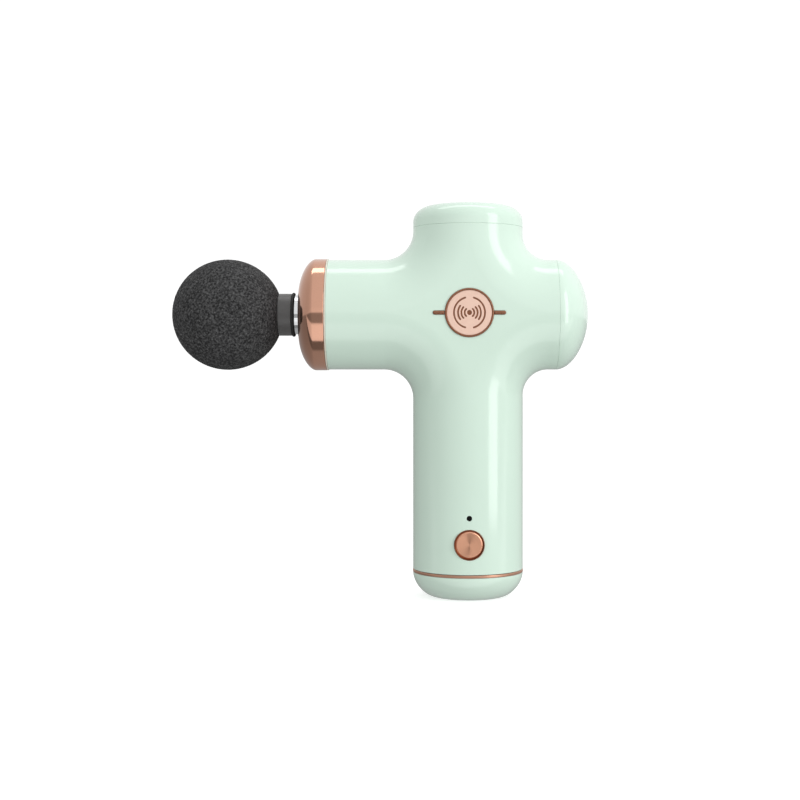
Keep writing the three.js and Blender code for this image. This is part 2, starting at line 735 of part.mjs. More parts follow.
function electronics() {
  const boardHoles = BOSS_HEIGHTS.map((z) => bar(1.3, -FAR, 0, "y", 12).translate(0, 0, z));
  const board = cut(
    block([-BOARD_HALF_WIDTH, BOARD_FRONT_Y, BOARD_BOTTOM_Z], [BOARD_HALF_WIDTH, BOARD_BACK_Y, BOARD_TOP_Z]),
    ...boardHoles,
  );
  const screws = BOSS_HEIGHTS.map((z, i) => {
    const headFrom = BOARD_BACK_Y + SEAM;
    const profile = [[0, BOARD_FRONT_Y - 3.5], [1, BOARD_FRONT_Y - 3.5], [1, headFrom], [2, headFrom],
      [2, headFrom + 1.2], [0, headFrom + 1.2]];
    return piece(`board_screw_${i + 1}`, turned(profile, "y", 12).translate(0, 0, z), STEEL);
  });
  const chargeTop = CHARGE_BOARD_Z + CHARGE_BOARD_THICK;
  const chargeBoard = block([-9, -8, CHARGE_BOARD_Z], [9, 15.5, chargeTop]);
  const socketFront = 20.4;
  const socketBack = 13.4;
  const socketWall = 0.35;
  const shellBlock = slotBlock(USB_HALF_WIDTH, USB_HALF_HEIGHT, socketBack, socketFront);
  const mouth = slotBlock(
    USB_HALF_WIDTH - socketWall,
    USB_HALF_HEIGHT - socketWall,
    socketBack + 1,
    socketFront + PAST,
  );
  const tongue = block([-3.2, socketBack + 0.5, -0.35], [3.2, socketFront - 1, 0.35]);
  const socket = join(cut(shellBlock, mouth), tongue);
  socket.translate(0, 0, USB_Z);
  return group(
    piece("control_board", board, BOARD_GREEN),
    ...screws,
    piece("charge_board", chargeBoard, BOARD_GREEN),
    piece("usb_socket", socket, STEEL),
  );
}

// Two 18650 cells stand side by side behind the board, held in a cradle with a ledge at each end.
const CELL_R = 9.15;
const CELL_HEIGHT = 65;
const CELL_X = 9.4;
const CELL_Y = 4;
const CELL_FROM = 28;
const CRADLE_GAP = 0.4;
const CRADLE_LEDGE = 2;

function battery() {
  const cellTo = CELL_FROM + CELL_HEIGHT;
  const cells = [["left", -1], ["right", 1]].map(([side, sign]) => {
    const cell = turned(
      [[0, CELL_FROM], [CELL_R, CELL_FROM], [CELL_R, cellTo - 1], [3, cellTo - 1], [3, cellTo], [0, cellTo]],
      "z",
      SMALL_ROUND,
    );
    return piece(`battery_cell_${side}`, cell.translate(sign * CELL_X, CELL_Y, 0), CELL_BLUE);
  });
  const plateFrom = -7.6;
  const plateTo = -5.8;
  const ledgeTo = CELL_Y + 6;
  const underCells = CELL_FROM - CRADLE_GAP;
  const overCells = cellTo + CRADLE_GAP;
  const cradleFrom = underCells - CRADLE_LEDGE;
  const cradleTo = overCells + CRADLE_LEDGE;
  const cradle = join(
    block([-BOARD_HALF_WIDTH, plateFrom, cradleFrom], [BOARD_HALF_WIDTH, plateTo, cradleTo]),
    block([-BOARD_HALF_WIDTH, plateFrom, cradleFrom], [BOARD_HALF_WIDTH, ledgeTo, underCells]),
    block([-BOARD_HALF_WIDTH, plateFrom, overCells], [BOARD_HALF_WIDTH, ledgeTo, cradleTo]),
  );
  return group(...cells, piece("battery_cradle", cradle, BLACK_PLASTIC));
}

// Leads inside the housing: the motor's from the board up the front wall, and the battery's over the cradle.
function leads() {
  const wireR = 0.9;
  const bracketUnder = AXIS_Z + BRACKET_FROM;
  const motorLead = cable(
    [
      [-6, BOARD_BACK_Y + 1.4, BOARD_TOP_Z - 4],
      [-6, BOARD_BACK_Y + 1.3, BOARD_TOP_Z + 4],
      [-6, -15, 92],
      [-6, -16.6, 104],
      [-6, -16.6, bracketUnder - 3],
      [-6, -16.2, bracketUnder + 2],
    ],
    wireR,
  );
  const cradleTop = CELL_FROM + CELL_HEIGHT + CRADLE_GAP + CRADLE_LEDGE;
  const batteryLead = cable(
    [
      [6, 2, cradleTop + 1.6],
      [6, -4, cradleTop + 2.2],
      [6, -8.8, cradleTop + 1.4],
      [6, -9.6, cradleTop - 3],
      [6, -9.4, 84],
      [6, BOARD_BACK_Y + 1.4, BOARD_TOP_Z - 5],
    ],
    wireR,
  );
  return group(
    piece("motor_lead", motorLead, BLACK_RUBBER),
    piece("battery_lead", batteryLead, RED_RUBBER),
  );
}

const drive = group(motor(), rotor(), rod(), piston(), head());
drive.position.z = AXIS_Z;

const massageGun = group(
  shells(),
  caps(),
  nose(),
  badge(),
  drive,
  controls(),
  electronics(),
  battery(),
  leads(),
);

export default massageGun;
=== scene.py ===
"""The looks of a cross-shaped massage gun: fine surfaces, materials, light and camera around the CAD frame.

Metres, +Z up. The ball head points to -X, and the badge and the button face -Y. Lengths are written in
millimetres times MM.
"""

import json
from math import asin, atan2, cos, hypot, pi, radians, sin, sqrt, tan

import bmesh
import bpy
import numpy as np
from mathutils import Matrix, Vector, noise


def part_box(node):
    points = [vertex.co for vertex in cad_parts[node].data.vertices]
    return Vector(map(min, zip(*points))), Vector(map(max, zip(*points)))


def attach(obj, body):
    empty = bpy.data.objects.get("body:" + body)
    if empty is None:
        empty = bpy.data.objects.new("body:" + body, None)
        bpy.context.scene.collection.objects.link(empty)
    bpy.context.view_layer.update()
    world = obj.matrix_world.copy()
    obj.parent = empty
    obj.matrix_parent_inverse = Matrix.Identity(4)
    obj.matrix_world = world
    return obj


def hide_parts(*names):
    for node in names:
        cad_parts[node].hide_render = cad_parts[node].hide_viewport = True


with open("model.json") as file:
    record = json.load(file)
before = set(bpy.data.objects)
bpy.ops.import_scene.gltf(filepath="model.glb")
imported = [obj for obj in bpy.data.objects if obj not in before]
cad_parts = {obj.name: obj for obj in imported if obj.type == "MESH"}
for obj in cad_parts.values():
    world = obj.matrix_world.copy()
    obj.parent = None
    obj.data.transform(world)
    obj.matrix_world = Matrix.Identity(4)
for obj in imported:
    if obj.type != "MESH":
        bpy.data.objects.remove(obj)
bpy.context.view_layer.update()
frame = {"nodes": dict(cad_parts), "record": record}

MM = 0.001
TINY = 1e-9

# ---------------------------------------------------------------- places and sizes taken from the frame


def low(node):
    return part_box(node)[0]


def high(node):
    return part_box(node)[1]


def middle(node):
    return (low(node) + high(node)) / 2


def half_height(node):
    """Half a node's extent along Z: the radius of a round piece that lies along X or Y."""
    return (high(node).z - low(node).z) / 2


def half_width(node):
    """Half a node's extent along X: the radius of a round piece that stands along Z."""
    return (high(node).x - low(node).x) / 2


AXIS_Z = middle("nose_ring").z
BODY_R = half_width("top_cap")
BARREL_END_X = low("front_shell").x
REAR_END_X = high("front_shell").x
SHELL_TOP_Z = high("front_shell").z
SHELL_BOTTOM_Z = low("front_shell").z
WALL = 2.2 * MM
FRONT_FILLET = 11.8 * MM
REAR_FILLET = 10.3 * MM
HALF_SEAM = 0.04 * MM  # the two halves' faces stand this far from the plane between them
EDGE = 0.09 * MM  # rounding of a moulded shell's edges
SPIGOT_R = 19.6 * MM
SPIGOT_IN_R = 17.6 * MM

# ---------------------------------------------------------------- mesh helpers


def mesh_piece(name, verts, faces):
    mesh = bpy.data.meshes.new(name)
    mesh.from_pydata(verts, [], faces)
    piece = bpy.data.objects.new(name, mesh)
    bpy.context.scene.collection.objects.link(piece)
    return piece


def finish_mesh(piece, merge=0.002 * MM, sharp_degrees=40.0):
    """Joins coincident points, turns the faces outwards and shades the piece smooth between sharp edges."""
    bm = bmesh.new()
    bm.from_mesh(piece.data)
    bmesh.ops.remove_doubles(bm, verts=bm.verts, dist=merge)
    bmesh.ops.dissolve_degenerate(bm, edges=bm.edges, dist=merge)
    bmesh.ops.recalc_face_normals(bm, faces=bm.faces)
    bm.to_mesh(piece.data)
    bm.free()
    piece.data.shade_smooth()
    piece.data.set_sharp_from_angle(angle=radians(sharp_degrees))
    return piece


def rounded(corners, closed=False, segments=6):
    """An outline of (a, b, radius) corners with each corner turned into an arc of its radius.

    A point beyond each end of an arc keeps the shading of the straight stretches flat.
    """
    count = len(corners)
    points = []
    for i, (a, b, radius) in enumerate(corners):
        here = Vector((a, b))
        if radius <= 0 or (not closed and i in (0, count - 1)):
            points.append((a, b))
            continue
        before = Vector(corners[i - 1][:2]) - here
        after = Vector(corners[(i + 1) % count][:2]) - here
        room = min(before.length, after.length)
        half_angle = before.angle(after) / 2
        reach = min(radius / tan(half_angle), room * 0.48)
        radius = reach * tan(half_angle)
        centre = here + (before.normalized() + after.normalized()).normalized() * radius / sin(half_angle)
        start = here + before.normalized() * reach - centre
        end = here + after.normalized() * reach - centre
        turn = pi - 2 * half_angle
        support = min(0.06 * MM, (room - 2 * reach) * 0.5)
        if support > 0.004 * MM:
            points.append(tuple(centre + start + before.normalized() * support))
        for step in range(segments + 1):
            share = step / segments
            weight_start = sin((1 - share) * turn) / sin(turn)
            weight_end = sin(share * turn) / sin(turn)
            points.append(tuple(centre + start * weight_start + end * weight_end))
        if support > 0.004 * MM:
            points.append(tuple(centre + end + after.normalized() * support))
    return points


def arc(centre, radius, from_degrees, to_degrees, steps):
    """Profile points, with no rounding of their own, along a circle whose centre lies on the axis."""
    points = []
    for step in range(steps + 1):
        angle = radians(from_degrees + (to_degrees - from_degrees) * step / steps)
        points.append((radius * cos(angle), centre + radius * sin(angle), 0))
    return points


def lathe(name, profile, axis, centre, segments=128, closed=False):
    """Turns (radius, place along the axis) points round an axis parallel to X, Y or Z through centre."""
    place = {
        "x": lambda radius, along, c, s: (along, centre[1] + radius * c, centre[2] + radius * s),
        "y": lambda radius, along, c, s: (centre[0] + radius * c, along, centre[2] + radius * s),
        "z": lambda radius, along, c, s: (centre[0] + radius * c, centre[1] + radius * s, along),
    }[axis]
    turns = [(cos(2 * pi * i / segments), sin(2 * pi * i / segments)) for i in range(segments)]
    verts = []
    rings = []
    for radius, along in profile:
        if radius < TINY:
            rings.append([len(verts)] * segments)
            verts.append(place(0.0, along, 1.0, 0.0))
        else:
            rings.append(list(range(len(verts), len(verts) + segments)))
            verts.extend(place(radius, along, c, s) for c, s in turns)
    faces = []
    pairs = list(zip(rings, rings[1:])) + ([(rings[-1], rings[0])] if closed else [])
    for lower, upper in pairs:
        for i in range(segments):
            j = (i + 1) % segments
            face = list(dict.fromkeys((lower[i], lower[j], upper[j], upper[i])))
            if len(face) > 2:
                faces.append(face)
    return finish_mesh(mesh_piece(name, verts, faces))


def stack(name, outline, layers, centre):
    """Closes a stack of outlines in XZ: layers are (inset, depth y), outline(inset) gives the points."""
    verts = []
    size = len(outline(layers[0][0]))
    for inset, depth in layers:
        verts.extend((centre[0] + x, depth, centre[2] + z) for x, z in outline(inset))
    faces = [list(range(size)), list(range(len(verts) - size, len(verts)))]
    for level in range(len(layers) - 1):
        for i in range(size):
            j = (i + 1) % size
            here, above = level * size, (level + 1) * size
            faces.append((here + i, here + j, above + j, above + i))
    return finish_mesh(mesh_piece(name, verts, faces))


def stadium(half_long, half_short, steps=16):
    """An outline with two round ends, as a function of how far it is drawn in from its edge."""
    spine = half_long - half_short

    def outline(inset):
        points = []
        for side in (1, -1):
            for step in range(steps + 1):
                angle = pi * step / steps - pi / 2
                radius = half_short - inset
                points.append((side * (spine + radius * cos(angle)), side * radius * sin(angle)))
        return points

    return outline


def carve(piece, *tools):
    """Cuts the tools out of the piece and throws them away."""
    for tool in tools:
        modifier = piece.modifiers.new("cut", "BOOLEAN")
        modifier.operation = "DIFFERENCE"
        modifier.solver = "EXACT"
        modifier.object = tool
    graph = bpy.context.evaluated_depsgraph_get()
    made = bpy.data.meshes.new_from_object(piece.evaluated_get(graph))
    piece.modifiers.clear()
    piece.data = made
    for tool in tools:
        bpy.data.objects.remove(tool)


def dress(piece, body, slot_name, material, *nodes):
    """Gives the piece its material, lets it ride on a body, and stands it in for its CAD nodes."""
    piece.data.materials.clear()
    piece.data.materials.append(material)
    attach(piece, body)
    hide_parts(*(nodes or (piece.name.replace("_skin", ""),)))


# ---------------------------------------------------------------- material helpers


class Look:
    """A node material with short calls for the nodes that the pieces share."""

    def __init__(self, name):
        self.material = bpy.data.materials.new(name)
        self.material.use_nodes = True
        self.tree = self.material.node_tree
        self.shader = self.tree.nodes["Principled BSDF"]
        self.place = self.node("ShaderNodeTexCoord").outputs["Object"]

    def node(self, kind, **settings):
        made = self.tree.nodes.new(kind)
        for key, value in settings.items():
            setattr(made, key, value)
        return made

    def link(self, output, target):
        self.tree.links.new(output, target)

    def set(self, **values):
        for key, value in values.items():
            self.shader.inputs[key.replace("_", " ")].default_value = value

    def noise(self, scale, detail=2.0, roughness=0.5, distortion=0.0, place=None):
        """Noise from 0 to 1, with scale in cells per metre."""
        made = self.node("ShaderNodeTexNoise")
        made.inputs["Scale"].default_value = scale
        made.inputs["Detail"].default_value = detail
        made.inputs["Roughness"].default_value = roughness
        made.inputs["Distortion"].default_value = distortion
        self.link(place or self.place, made.inputs["Vector"])
        return made.outputs["Fac"]

    def cells(self, scale, feature="F1"):
        made = self.node("ShaderNodeTexVoronoi", feature=feature)
        made.inputs["Scale"].default_value = scale
        self.link(self.place, made.inputs["Vector"])
        return made.outputs["Distance"]

    def spread(self, value, from_low, from_high, to_low, to_high):
        """Stretches a value from one range to another, and stops it at the second range's ends."""
        made = self.node("ShaderNodeMapRange")
        made.inputs["From Min"].default_value = from_low
        made.inputs["From Max"].default_value = from_high
        made.inputs["To Min"].default_value = to_low
        made.inputs["To Max"].default_value = to_high
        self.link(value, made.inputs["Value"])
        return made.outputs["Result"]

    def math(self, operation, first, second=0.0):
        made = self.node("ShaderNodeMath", operation=operation)
        for socket, value in zip(made.inputs, (first, second)):
            if isinstance(value, (int, float)):
                socket.default_value = value
            else:
                self.link(value, socket)
        return made.outputs["Value"]

    def mix(self, factor, first, second):
        """A colour between two colours or colour outputs."""
        made = self.node("ShaderNodeMix", data_type="RGBA")
        self.link(factor, made.inputs["Factor"])
        for socket, value in ((made.inputs[6], first), (made.inputs[7], second)):
            if isinstance(value, tuple):
                socket.default_value = (*value, 1.0)
            else:
                self.link(value, socket)
        return made.outputs[2]

    def colour(self, output):
        self.link(output, self.shader.inputs["Base Color"])

    def rough(self, output):
        self.link(output, self.shader.inputs["Roughness"])

    def bump(self, *layers):
        """Stacks (height output, strength, distance in metres) layers into the shader's normal."""
        below = None
        for height, strength, distance in layers:
            made = self.node("ShaderNodeBump")
            made.inputs["Strength"].default_value = strength
            made.inputs["Distance"].default_value = distance
            self.link(height, made.inputs["Height"])
            if below:
                self.link(below, made.inputs["Normal"])
            below = made.outputs["Normal"]
        self.link(below, self.shader.inputs["Normal"])

    def radius_from(self, centre, axis):
        """The distance from a line through centre along an axis, as an output."""
        moved = self.node("ShaderNodeVectorMath", operation="SUBTRACT")
        self.link(self.place, moved.inputs[0])
        moved.inputs[1].default_value = tuple(centre)
        flat = self.node("ShaderNodeVectorMath", operation="MULTIPLY")
        self.link(moved.outputs[0], flat.inputs[0])
        flat.inputs[1].default_value = tuple(0.0 if letter == axis else 1.0 for letter in "xyz")
        length = self.node("ShaderNodeVectorMath", operation="LENGTH")
        self.link(flat.outputs[0], length.inputs[0])
        return length.outputs["Value"]


def shade(colour, factor):
    return tuple(min(1.0, channel * factor) for channel in colour)


def glossy_plastic(name, colour, roughness=0.16):
    """Injection-moulded gloss: a faint cloudiness of the pigment, orange peel and fine polish marks."""
    look = Look(name)
    look.set(IOR=1.49, Coat_Weight=0.35, Coat_Roughness=0.06)
    look.colour(look.mix(look.noise(60, 3), shade(colour, 0.985), shade(colour, 1.012)))
    polish = look.noise(900, 4, 0.6)
    look.rough(look.spread(polish, 0.3, 0.7, roughness - 0.03, roughness + 0.04))
    look.bump((look.noise(420, 2), 0.05, 0.02 * MM), (look.noise(5200, 2), 0.04, 0.004 * MM))
    return look.material


def smoked_window(name):
    """A tinted light guide, nearly black while its light is off."""
    look = Look(name)
    look.set(IOR=1.45, Specular_IOR_Level=0.15)
    look.colour(look.mix(look.noise(1200, 3), (0.002, 0.002, 0.002), (0.006, 0.006, 0.006)))
    look.rough(look.spread(look.noise(2600, 3), 0.3, 0.7, 0.25, 0.4))
    look.bump((look.noise(5200, 2), 0.04, 0.004 * MM))
    return look.material


def matte_plastic(name, colour, roughness=0.5, grain=4200):
    """Moulded plastic with a fine spark-eroded grain."""
    look = Look(name)
    look.set(IOR=1.46)
    look.colour(look.mix(look.noise(700, 3), shade(colour, 0.9), shade(colour, 1.1)))
    look.rough(look.spread(look.noise(1500, 3), 0.3, 0.7, roughness - 0.07, roughness + 0.07))
    look.bump((look.noise(grain, 3, 0.6), 0.25, 0.02 * MM))
    return look.material


def rubber(name, colour):
    look = Look(name)
    look.set(IOR=1.5)
    look.colour(look.mix(look.noise(900, 4), shade(colour, 0.8), shade(colour, 1.25)))
    look.rough(look.spread(look.noise(2500, 3), 0.3, 0.7, 0.6, 0.82))
    look.bump((look.noise(6000, 3, 0.7), 0.3, 0.02 * MM))
    return look.material


def polished_metal(name, colour, roughness=0.08, wear=0.05):
    """Plated and polished: nearly a mirror, with faint haze and hairline marks."""
    look = Look(name)
    look.set(Metallic=1.0)
    haze = look.noise(160, 3)
    look.colour(look.mix(haze, shade(colour, 0.96), shade(colour, 1.03)))
    marks = look.noise(3500, 5, 0.7)
    look.rough(look.spread(marks, 0.35, 0.75, roughness, roughness + wear))
    look.bump((look.noise(260, 2), 0.04, 0.02 * MM), (marks, 0.05, 0.003 * MM))
    return look.material


def turned_metal(name, colour, centre, axis, roughness, anisotropy):
    """Metal with fine lathe marks running round an axis, which draw the light out into rays."""
    look = Look(name)
    look.set(Metallic=1.0, Anisotropic=anisotropy)
    tangent = look.node("ShaderNodeTangent", direction_type="RADIAL", axis=axis.upper())
    look.link(tangent.outputs["Tangent"], look.shader.inputs["Tangent"])
    rings = look.node("ShaderNodeCombineXYZ")
    look.link(look.radius_from(centre, axis), rings.inputs["X"])
    uneven = look.noise(1 / (0.35 * MM), 4, 0.7, place=rings.outputs["Vector"])
    look.colour(look.mix(uneven, shade(colour, 0.93), shade(colour, 1.05)))
    look.rough(look.spread(uneven, 0.3, 0.7, roughness - 0.04, roughness + 0.05))
    look.bump((uneven, 0.12, 0.004 * MM))
    return look.material


def satin_metal(name, colour, roughness=0.3):
    """Fine bead-blasted or lapped metal."""
    look = Look(name)
    look.set(Metallic=1.0)
    look.colour(look.mix(look.noise(500, 4), shade(colour, 0.9), shade(colour, 1.06)))
    look.rough(look.spread(look.noise(2600, 4), 0.3, 0.7, roughness - 0.06, roughness + 0.08))
    look.bump((look.noise(7000, 3, 0.6), 0.15, 0.006 * MM))
    return look.material


def foam(name):
    """Dense moulded foam: a charcoal skin of tiny pores with paler crumbs between them."""
    look = Look(name)
    look.set(IOR=1.4, Specular_IOR_Level=0.3)
    crumbs = look.noise(1200, 3, 0.6)
    dots = look.cells(2100)
    dark = (0.0160, 0.0160, 0.0165)
    mid = (0.074, 0.074, 0.075)
    pale = (0.180, 0.180, 0.182)
    base = look.mix(look.spread(crumbs, 0.38, 0.62, 0, 1), dark, mid)
    crumb_tops = look.spread(crumbs, 0.50, 0.70, 0, 1)
    flecks = look.math("MULTIPLY", crumb_tops, look.spread(dots, 0.55, 0.2, 0, 1))
    look.colour(look.mix(flecks, base, pale))
    look.rough(look.spread(crumbs, 0.3, 0.7, 1.0, 0.85))
    look.bump((crumbs, 0.8, 0.25 * MM), (dots, 0.5, 0.12 * MM))
    return look.material


def engraved_metal(name, colour, cut_colour):
    """Satin-polished plate whose engraved lines, marked by the groove attribute, are darker and rougher."""
    look = Look(name)
    look.set(Metallic=1.0)
    groove = look.node("ShaderNodeAttribute", attribute_name="groove").outputs["Fac"]
    surface = look.mix(look.noise(900, 4), shade(colour, 0.95), shade(colour, 1.04))
    look.colour(look.mix(groove, surface, cut_colour))
    look.rough(look.spread(groove, 0, 1, 0.62, 0.7))
    look.bump((look.noise(5200, 4, 0.6), 0.2, 0.006 * MM))
    return look.material


def wound_copper(name, colour):
    """Enamelled wire: fine parallel turns, with painted shade in the grooves between them."""
    look = Look(name)
    look.set(Metallic=1.0)
    wave = look.node("ShaderNodeTexWave", bands_direction="Z")
    wave.inputs["Scale"].default_value = 420
    wave.inputs["Distortion"].default_value = 1.5
    look.link(look.place, wave.inputs["Vector"])
    # painted shade: the same wave that shapes the turns darkens the grooves between them
    look.colour(look.mix(wave.outputs["Fac"], shade(colour, 0.45), colour))
    look.set(Roughness=0.32)
    look.bump((wave.outputs["Fac"], 0.6, 0.1 * MM))
    return look.material


def circuit_board(name, colour):
    """Solder mask over copper tracks that show as slightly raised, paler lines."""
    look = Look(name)
    brick = look.node("ShaderNodeTexBrick")
    brick.inputs["Scale"].default_value = 330
    brick.inputs["Mortar Size"].default_value = 0.06
    look.link(look.place, brick.inputs["Vector"])
    tracks = look.math("SUBTRACT", 1.0, brick.outputs["Fac"])
    look.colour(look.mix(tracks, shade(colour, 0.8), shade(colour, 1.5)))
    look.set(Roughness=0.35)
    look.bump((tracks, 0.4, 0.03 * MM))
    return look.material


MINT = (0.690, 0.860, 0.742)
ROSE = (0.670, 0.370, 0.262)
PINK = (1.000, 0.730, 0.610)
COPPER = (0.360, 0.165, 0.100)
SPUN_ROSE = (0.820, 0.430, 0.280)

mint = glossy_plastic("mint_gloss", MINT)
rose_gold = polished_metal("rose_gold_polished", ROSE)
trim_gold = polished_metal("rose_gold_trim", ROSE, 0.32)
button_gold = turned_metal("rose_gold_spun", SPUN_ROSE, middle("power_button"), "y", 0.34, 0.9)
badge_gold = engraved_metal("pink_gold_engraved", PINK, shade(COPPER, 0.9))
dark_copper = satin_metal("dark_copper_satin", COPPER, 0.3)
chrome = turned_metal("bright_alloy_turned", (0.78, 0.79, 0.80), middle("piston"), "x", 0.14, 0.75)
grey = matte_plastic("grey_satin_plastic", (0.105, 0.105, 0.104), 0.38)
black_rubber = rubber("black_rubber", (0.012, 0.012, 0.012))
foam_look = foam("charcoal_foam")
window = smoked_window("dark_window")
usb_steel = satin_metal("usb_steel", (0.62, 0.63, 0.65), 0.26)

SLOT_LOOKS = {
    "mint_shell": mint,
    "rose_gold": rose_gold,
    "pink_gold": badge_gold,
    "dark_copper": dark_copper,
    "bright_alloy": chrome,
    "machined_alloy": satin_metal("machined_alloy", (0.66, 0.67, 0.69), 0.3),
    "steel": satin_metal("steel", (0.55, 0.56, 0.58), 0.24),
    "windings": wound_copper("copper_windings", (0.62, 0.26, 0.11)),
    "grey_plastic": grey,
    "bearing_plastic": matte_plastic("bearing_plastic", (0.74, 0.70, 0.60), 0.45),
    "black_plastic": matte_plastic("black_plastic", (0.02, 0.02, 0.02), 0.5),
    "dark_window": window,
    "light_chip": matte_plastic("light_chip", (0.80, 0.76, 0.58), 0.4),
    "board": circuit_board("board_green", (0.012, 0.10, 0.045)),
    "cell_sleeve": glossy_plastic("cell_sleeve", (0.02, 0.12, 0.36), 0.3),
    "black_rubber": black_rubber,
    "red_rubber": rubber("red_rubber", (0.32, 0.012, 0.008)),
    "foam": foam_look,
}

for part in frame["record"]["subparts"]:
    carried = frame["nodes"][part["node"]]
    carried.data.materials.clear()
    carried.data.materials.append(SLOT_LOOKS[part["material_slot"]])

# ---------------------------------------------------------------- the two halves of the housing

EDGE_MIDDLE = 0.29 * EDGE  # where the middle of a rounded edge lies, from both of its faces
# Across the end of the wall: depth under the outer face, and distance from the end.
END_STRIP = [
    (0.0, EDGE),
    (EDGE_MIDDLE, EDGE_MIDDLE),
    (EDGE, 0.0),
    (WALL - EDGE, 0.0),
    (WALL - EDGE_MIDDLE, EDGE_MIDDLE),
    (WALL, EDGE),
]
ARM_COLUMNS = 22
HANDLE_COLUMNS = 34
ARC_COLUMNS = 32
ROWS = 52
CREST_SHARES = (0.0, 0.35, 0.7, 1.0)  # from a corner's crest line to the crossing of the tubes' axes


def corner_centre(side_x):
    """How far the centre of an inner corner's arcs stands from both tubes' axes."""
    return BODY_R + (REAR_FILLET if side_x > 0 else FRONT_FILLET)


def outline_point(column, side_x, side_z, half, inset):
    """A point of the cross's outline in one quadrant: along the arm, round the corner, along the handle."""
    centre = corner_centre(side_x)
    end_x = (REAR_END_X if side_x > 0 else -BARREL_END_X) - inset
    end_z = (SHELL_TOP_Z - AXIS_Z if side_z > 0 else AXIS_Z - SHELL_BOTTOM_Z) - inset
    if column <= ARM_COLUMNS:
        share = column / ARM_COLUMNS
        return side_x * (end_x + (centre - end_x) * share), side_z * half
    if column <= ARM_COLUMNS + ARC_COLUMNS:
        angle = (column - ARM_COLUMNS) / ARC_COLUMNS * pi / 2
        reach = centre - half
        return side_x * (centre - reach * sin(angle)), side_z * (centre - reach * cos(angle))
    share = (column - ARM_COLUMNS - ARC_COLUMNS) / HANDLE_COLUMNS
    return side_x * half, side_z * (centre + (end_z - centre) * share)


def shell_point(side, side_x, side_z, column, depth, inset, rise, share):
    """A point of a half shell, at a depth under its outer face and a share of the way to the seam.

    The shell's ends are drawn in by inset, and its edge at the seam stands off by rise.
    """
    radius = BODY_R - depth
    lowest = asin((HALF_SEAM + rise) / radius)
    angle = pi / 2 + (lowest - pi / 2) * share
    x, z = outline_point(column, side_x, side_z, radius * cos(angle), inset)
    return x, side * radius * sin(angle), AXIS_Z + z


def grid_patch(verts, faces, rows):
    """Adds a grid of points, given as rows of equal length, and its quads."""
    start = len(verts)
    width = len(rows[0])
    for row in rows:
        verts.extend(row)
    for i in range(len(rows) - 1):
        for j in range(width - 1):
            corner = start + i * width + j
            faces.append((corner, corner + 1, corner + width + 1, corner + width))


def towards_middle(place, share):
    """Moves a point of the flat front or back towards the crossing of the two tubes' axes."""
    x, y, z = place
    return x * (1 - share), y, AXIS_Z + (z - AXIS_Z) * (1 - share)


def half_shell(name, side):
    """One half of the housing: its wall, rounded ends and rounded seam. side is -1 in front and 1 behind."""
    last = ARM_COLUMNS + ARC_COLUMNS + HANDLE_COLUMNS
    columns = range(last + 1)
    corner_columns = range(ARM_COLUMNS, ARM_COLUMNS + ARC_COLUMNS + 1)
    shares = [row / ROWS for row in range(ROWS + 1)]
    verts = []
    faces = []
    for side_x in (-1, 1):
        for side_z in (-1, 1):

            def point(column, depth, inset, rise, share):
                return shell_point(side, side_x, side_z, column, depth, inset, rise, share)

            for depth in (0.0, WALL):
                wall = [[point(column, depth, EDGE, EDGE, share) for column in columns] for share in shares]
                grid_patch(verts, faces, wall)
                crest = [point(column, depth, EDGE, EDGE, 0.0) for column in corner_columns]
                flat = [[towards_middle(place, share) for place in crest] for share in CREST_SHARES]
                grid_patch(verts, faces, flat)
            for column in (0, last):
                end = [[point(column, d, off, off, share) for d, off in END_STRIP] for share in shares]
                grid_patch(verts, faces, end)
            seam = [[point(column, d, off, off, 1.0) for column in columns] for d, off in END_STRIP]
            grid_patch(verts, faces, seam)
    return finish_mesh(mesh_piece(name, verts, faces), merge=0.003 * MM)


def outer_share(x, z):
    """How far out a place in front of the cross lies, up to 1 at the outline, and the slope of that share."""
    centre = corner_centre(x)
    if abs(z) >= centre:
        return abs(x) / BODY_R, (np.sign(x) / BODY_R, 0.0)
    if abs(x) >= centre:
        return abs(z) / BODY_R, (0.0, np.sign(z) / BODY_R)
    dx, dz = centre - abs(x), centre - abs(z)
    distance = hypot(dx, dz)
    if distance >= centre:
        return 0.0, (0.0, 0.0)
    scale = distance * BODY_R
    return (centre - distance) / BODY_R, (np.sign(x) * dx / scale, np.sign(z) * dz / scale)


def outer_normal(point):
    """The direction in which the housing's outer face looks at a point of it."""
    share, slope = outer_share(point.x, point.z - AXIS_Z)
    strength = BODY_R * BODY_R * share
    return Vector((strength * slope[0], point.y, strength * slope[1])).normalized()


SHELL_SHARP_DEGREES = 38
ON_SURFACE = 0.08 * MM  # a face whose centre is this close to the outer surface belongs to it
OUTLINE_SHARE = 0.995  # past this share every face counts, because the surface is too steep to compare
FACING = 0.97  # the least cosine between such a face's normal and the surface's


def true_normals(piece, side):
    """Gives a carved shell's outer face the normals of its true surface, so that the cuts leave no ripple."""
    mesh = piece.data
    mesh.shade_smooth()
    mesh.set_sharp_from_angle(angle=radians(SHELL_SHARP_DEGREES))
    normals = [(0.0, 0.0, 0.0)] * len(mesh.loops)
    for face in mesh.polygons:
        centre = face.center
        share = outer_share(centre.x, centre.z - AXIS_Z)[0]
        height = BODY_R * sqrt(max(0.0, 1 - min(1.0, share) ** 2))
        on_surface = abs(abs(centre.y) - height) < ON_SURFACE or share > OUTLINE_SHARE
        if on_surface and side * centre.y > 0 and face.normal.dot(outer_normal(centre)) > FACING:
            for loop in face.loop_indices:
                normals[loop] = tuple(outer_normal(mesh.vertices[mesh.loops[loop].vertex_index].co))
    mesh.normals_split_custom_set(normals)


POCKET_FLOOR_Y = -BODY_R + 1.4 * MM  # the floor of the pockets that hold the badge's rim and bars
OUTSIDE_Y = -BODY_R - 5 * MM  # cutting tools run from here, clear of the front shell ...
INSIDE_Y = -BODY_R + 5 * MM  # ... to here, behind its wall


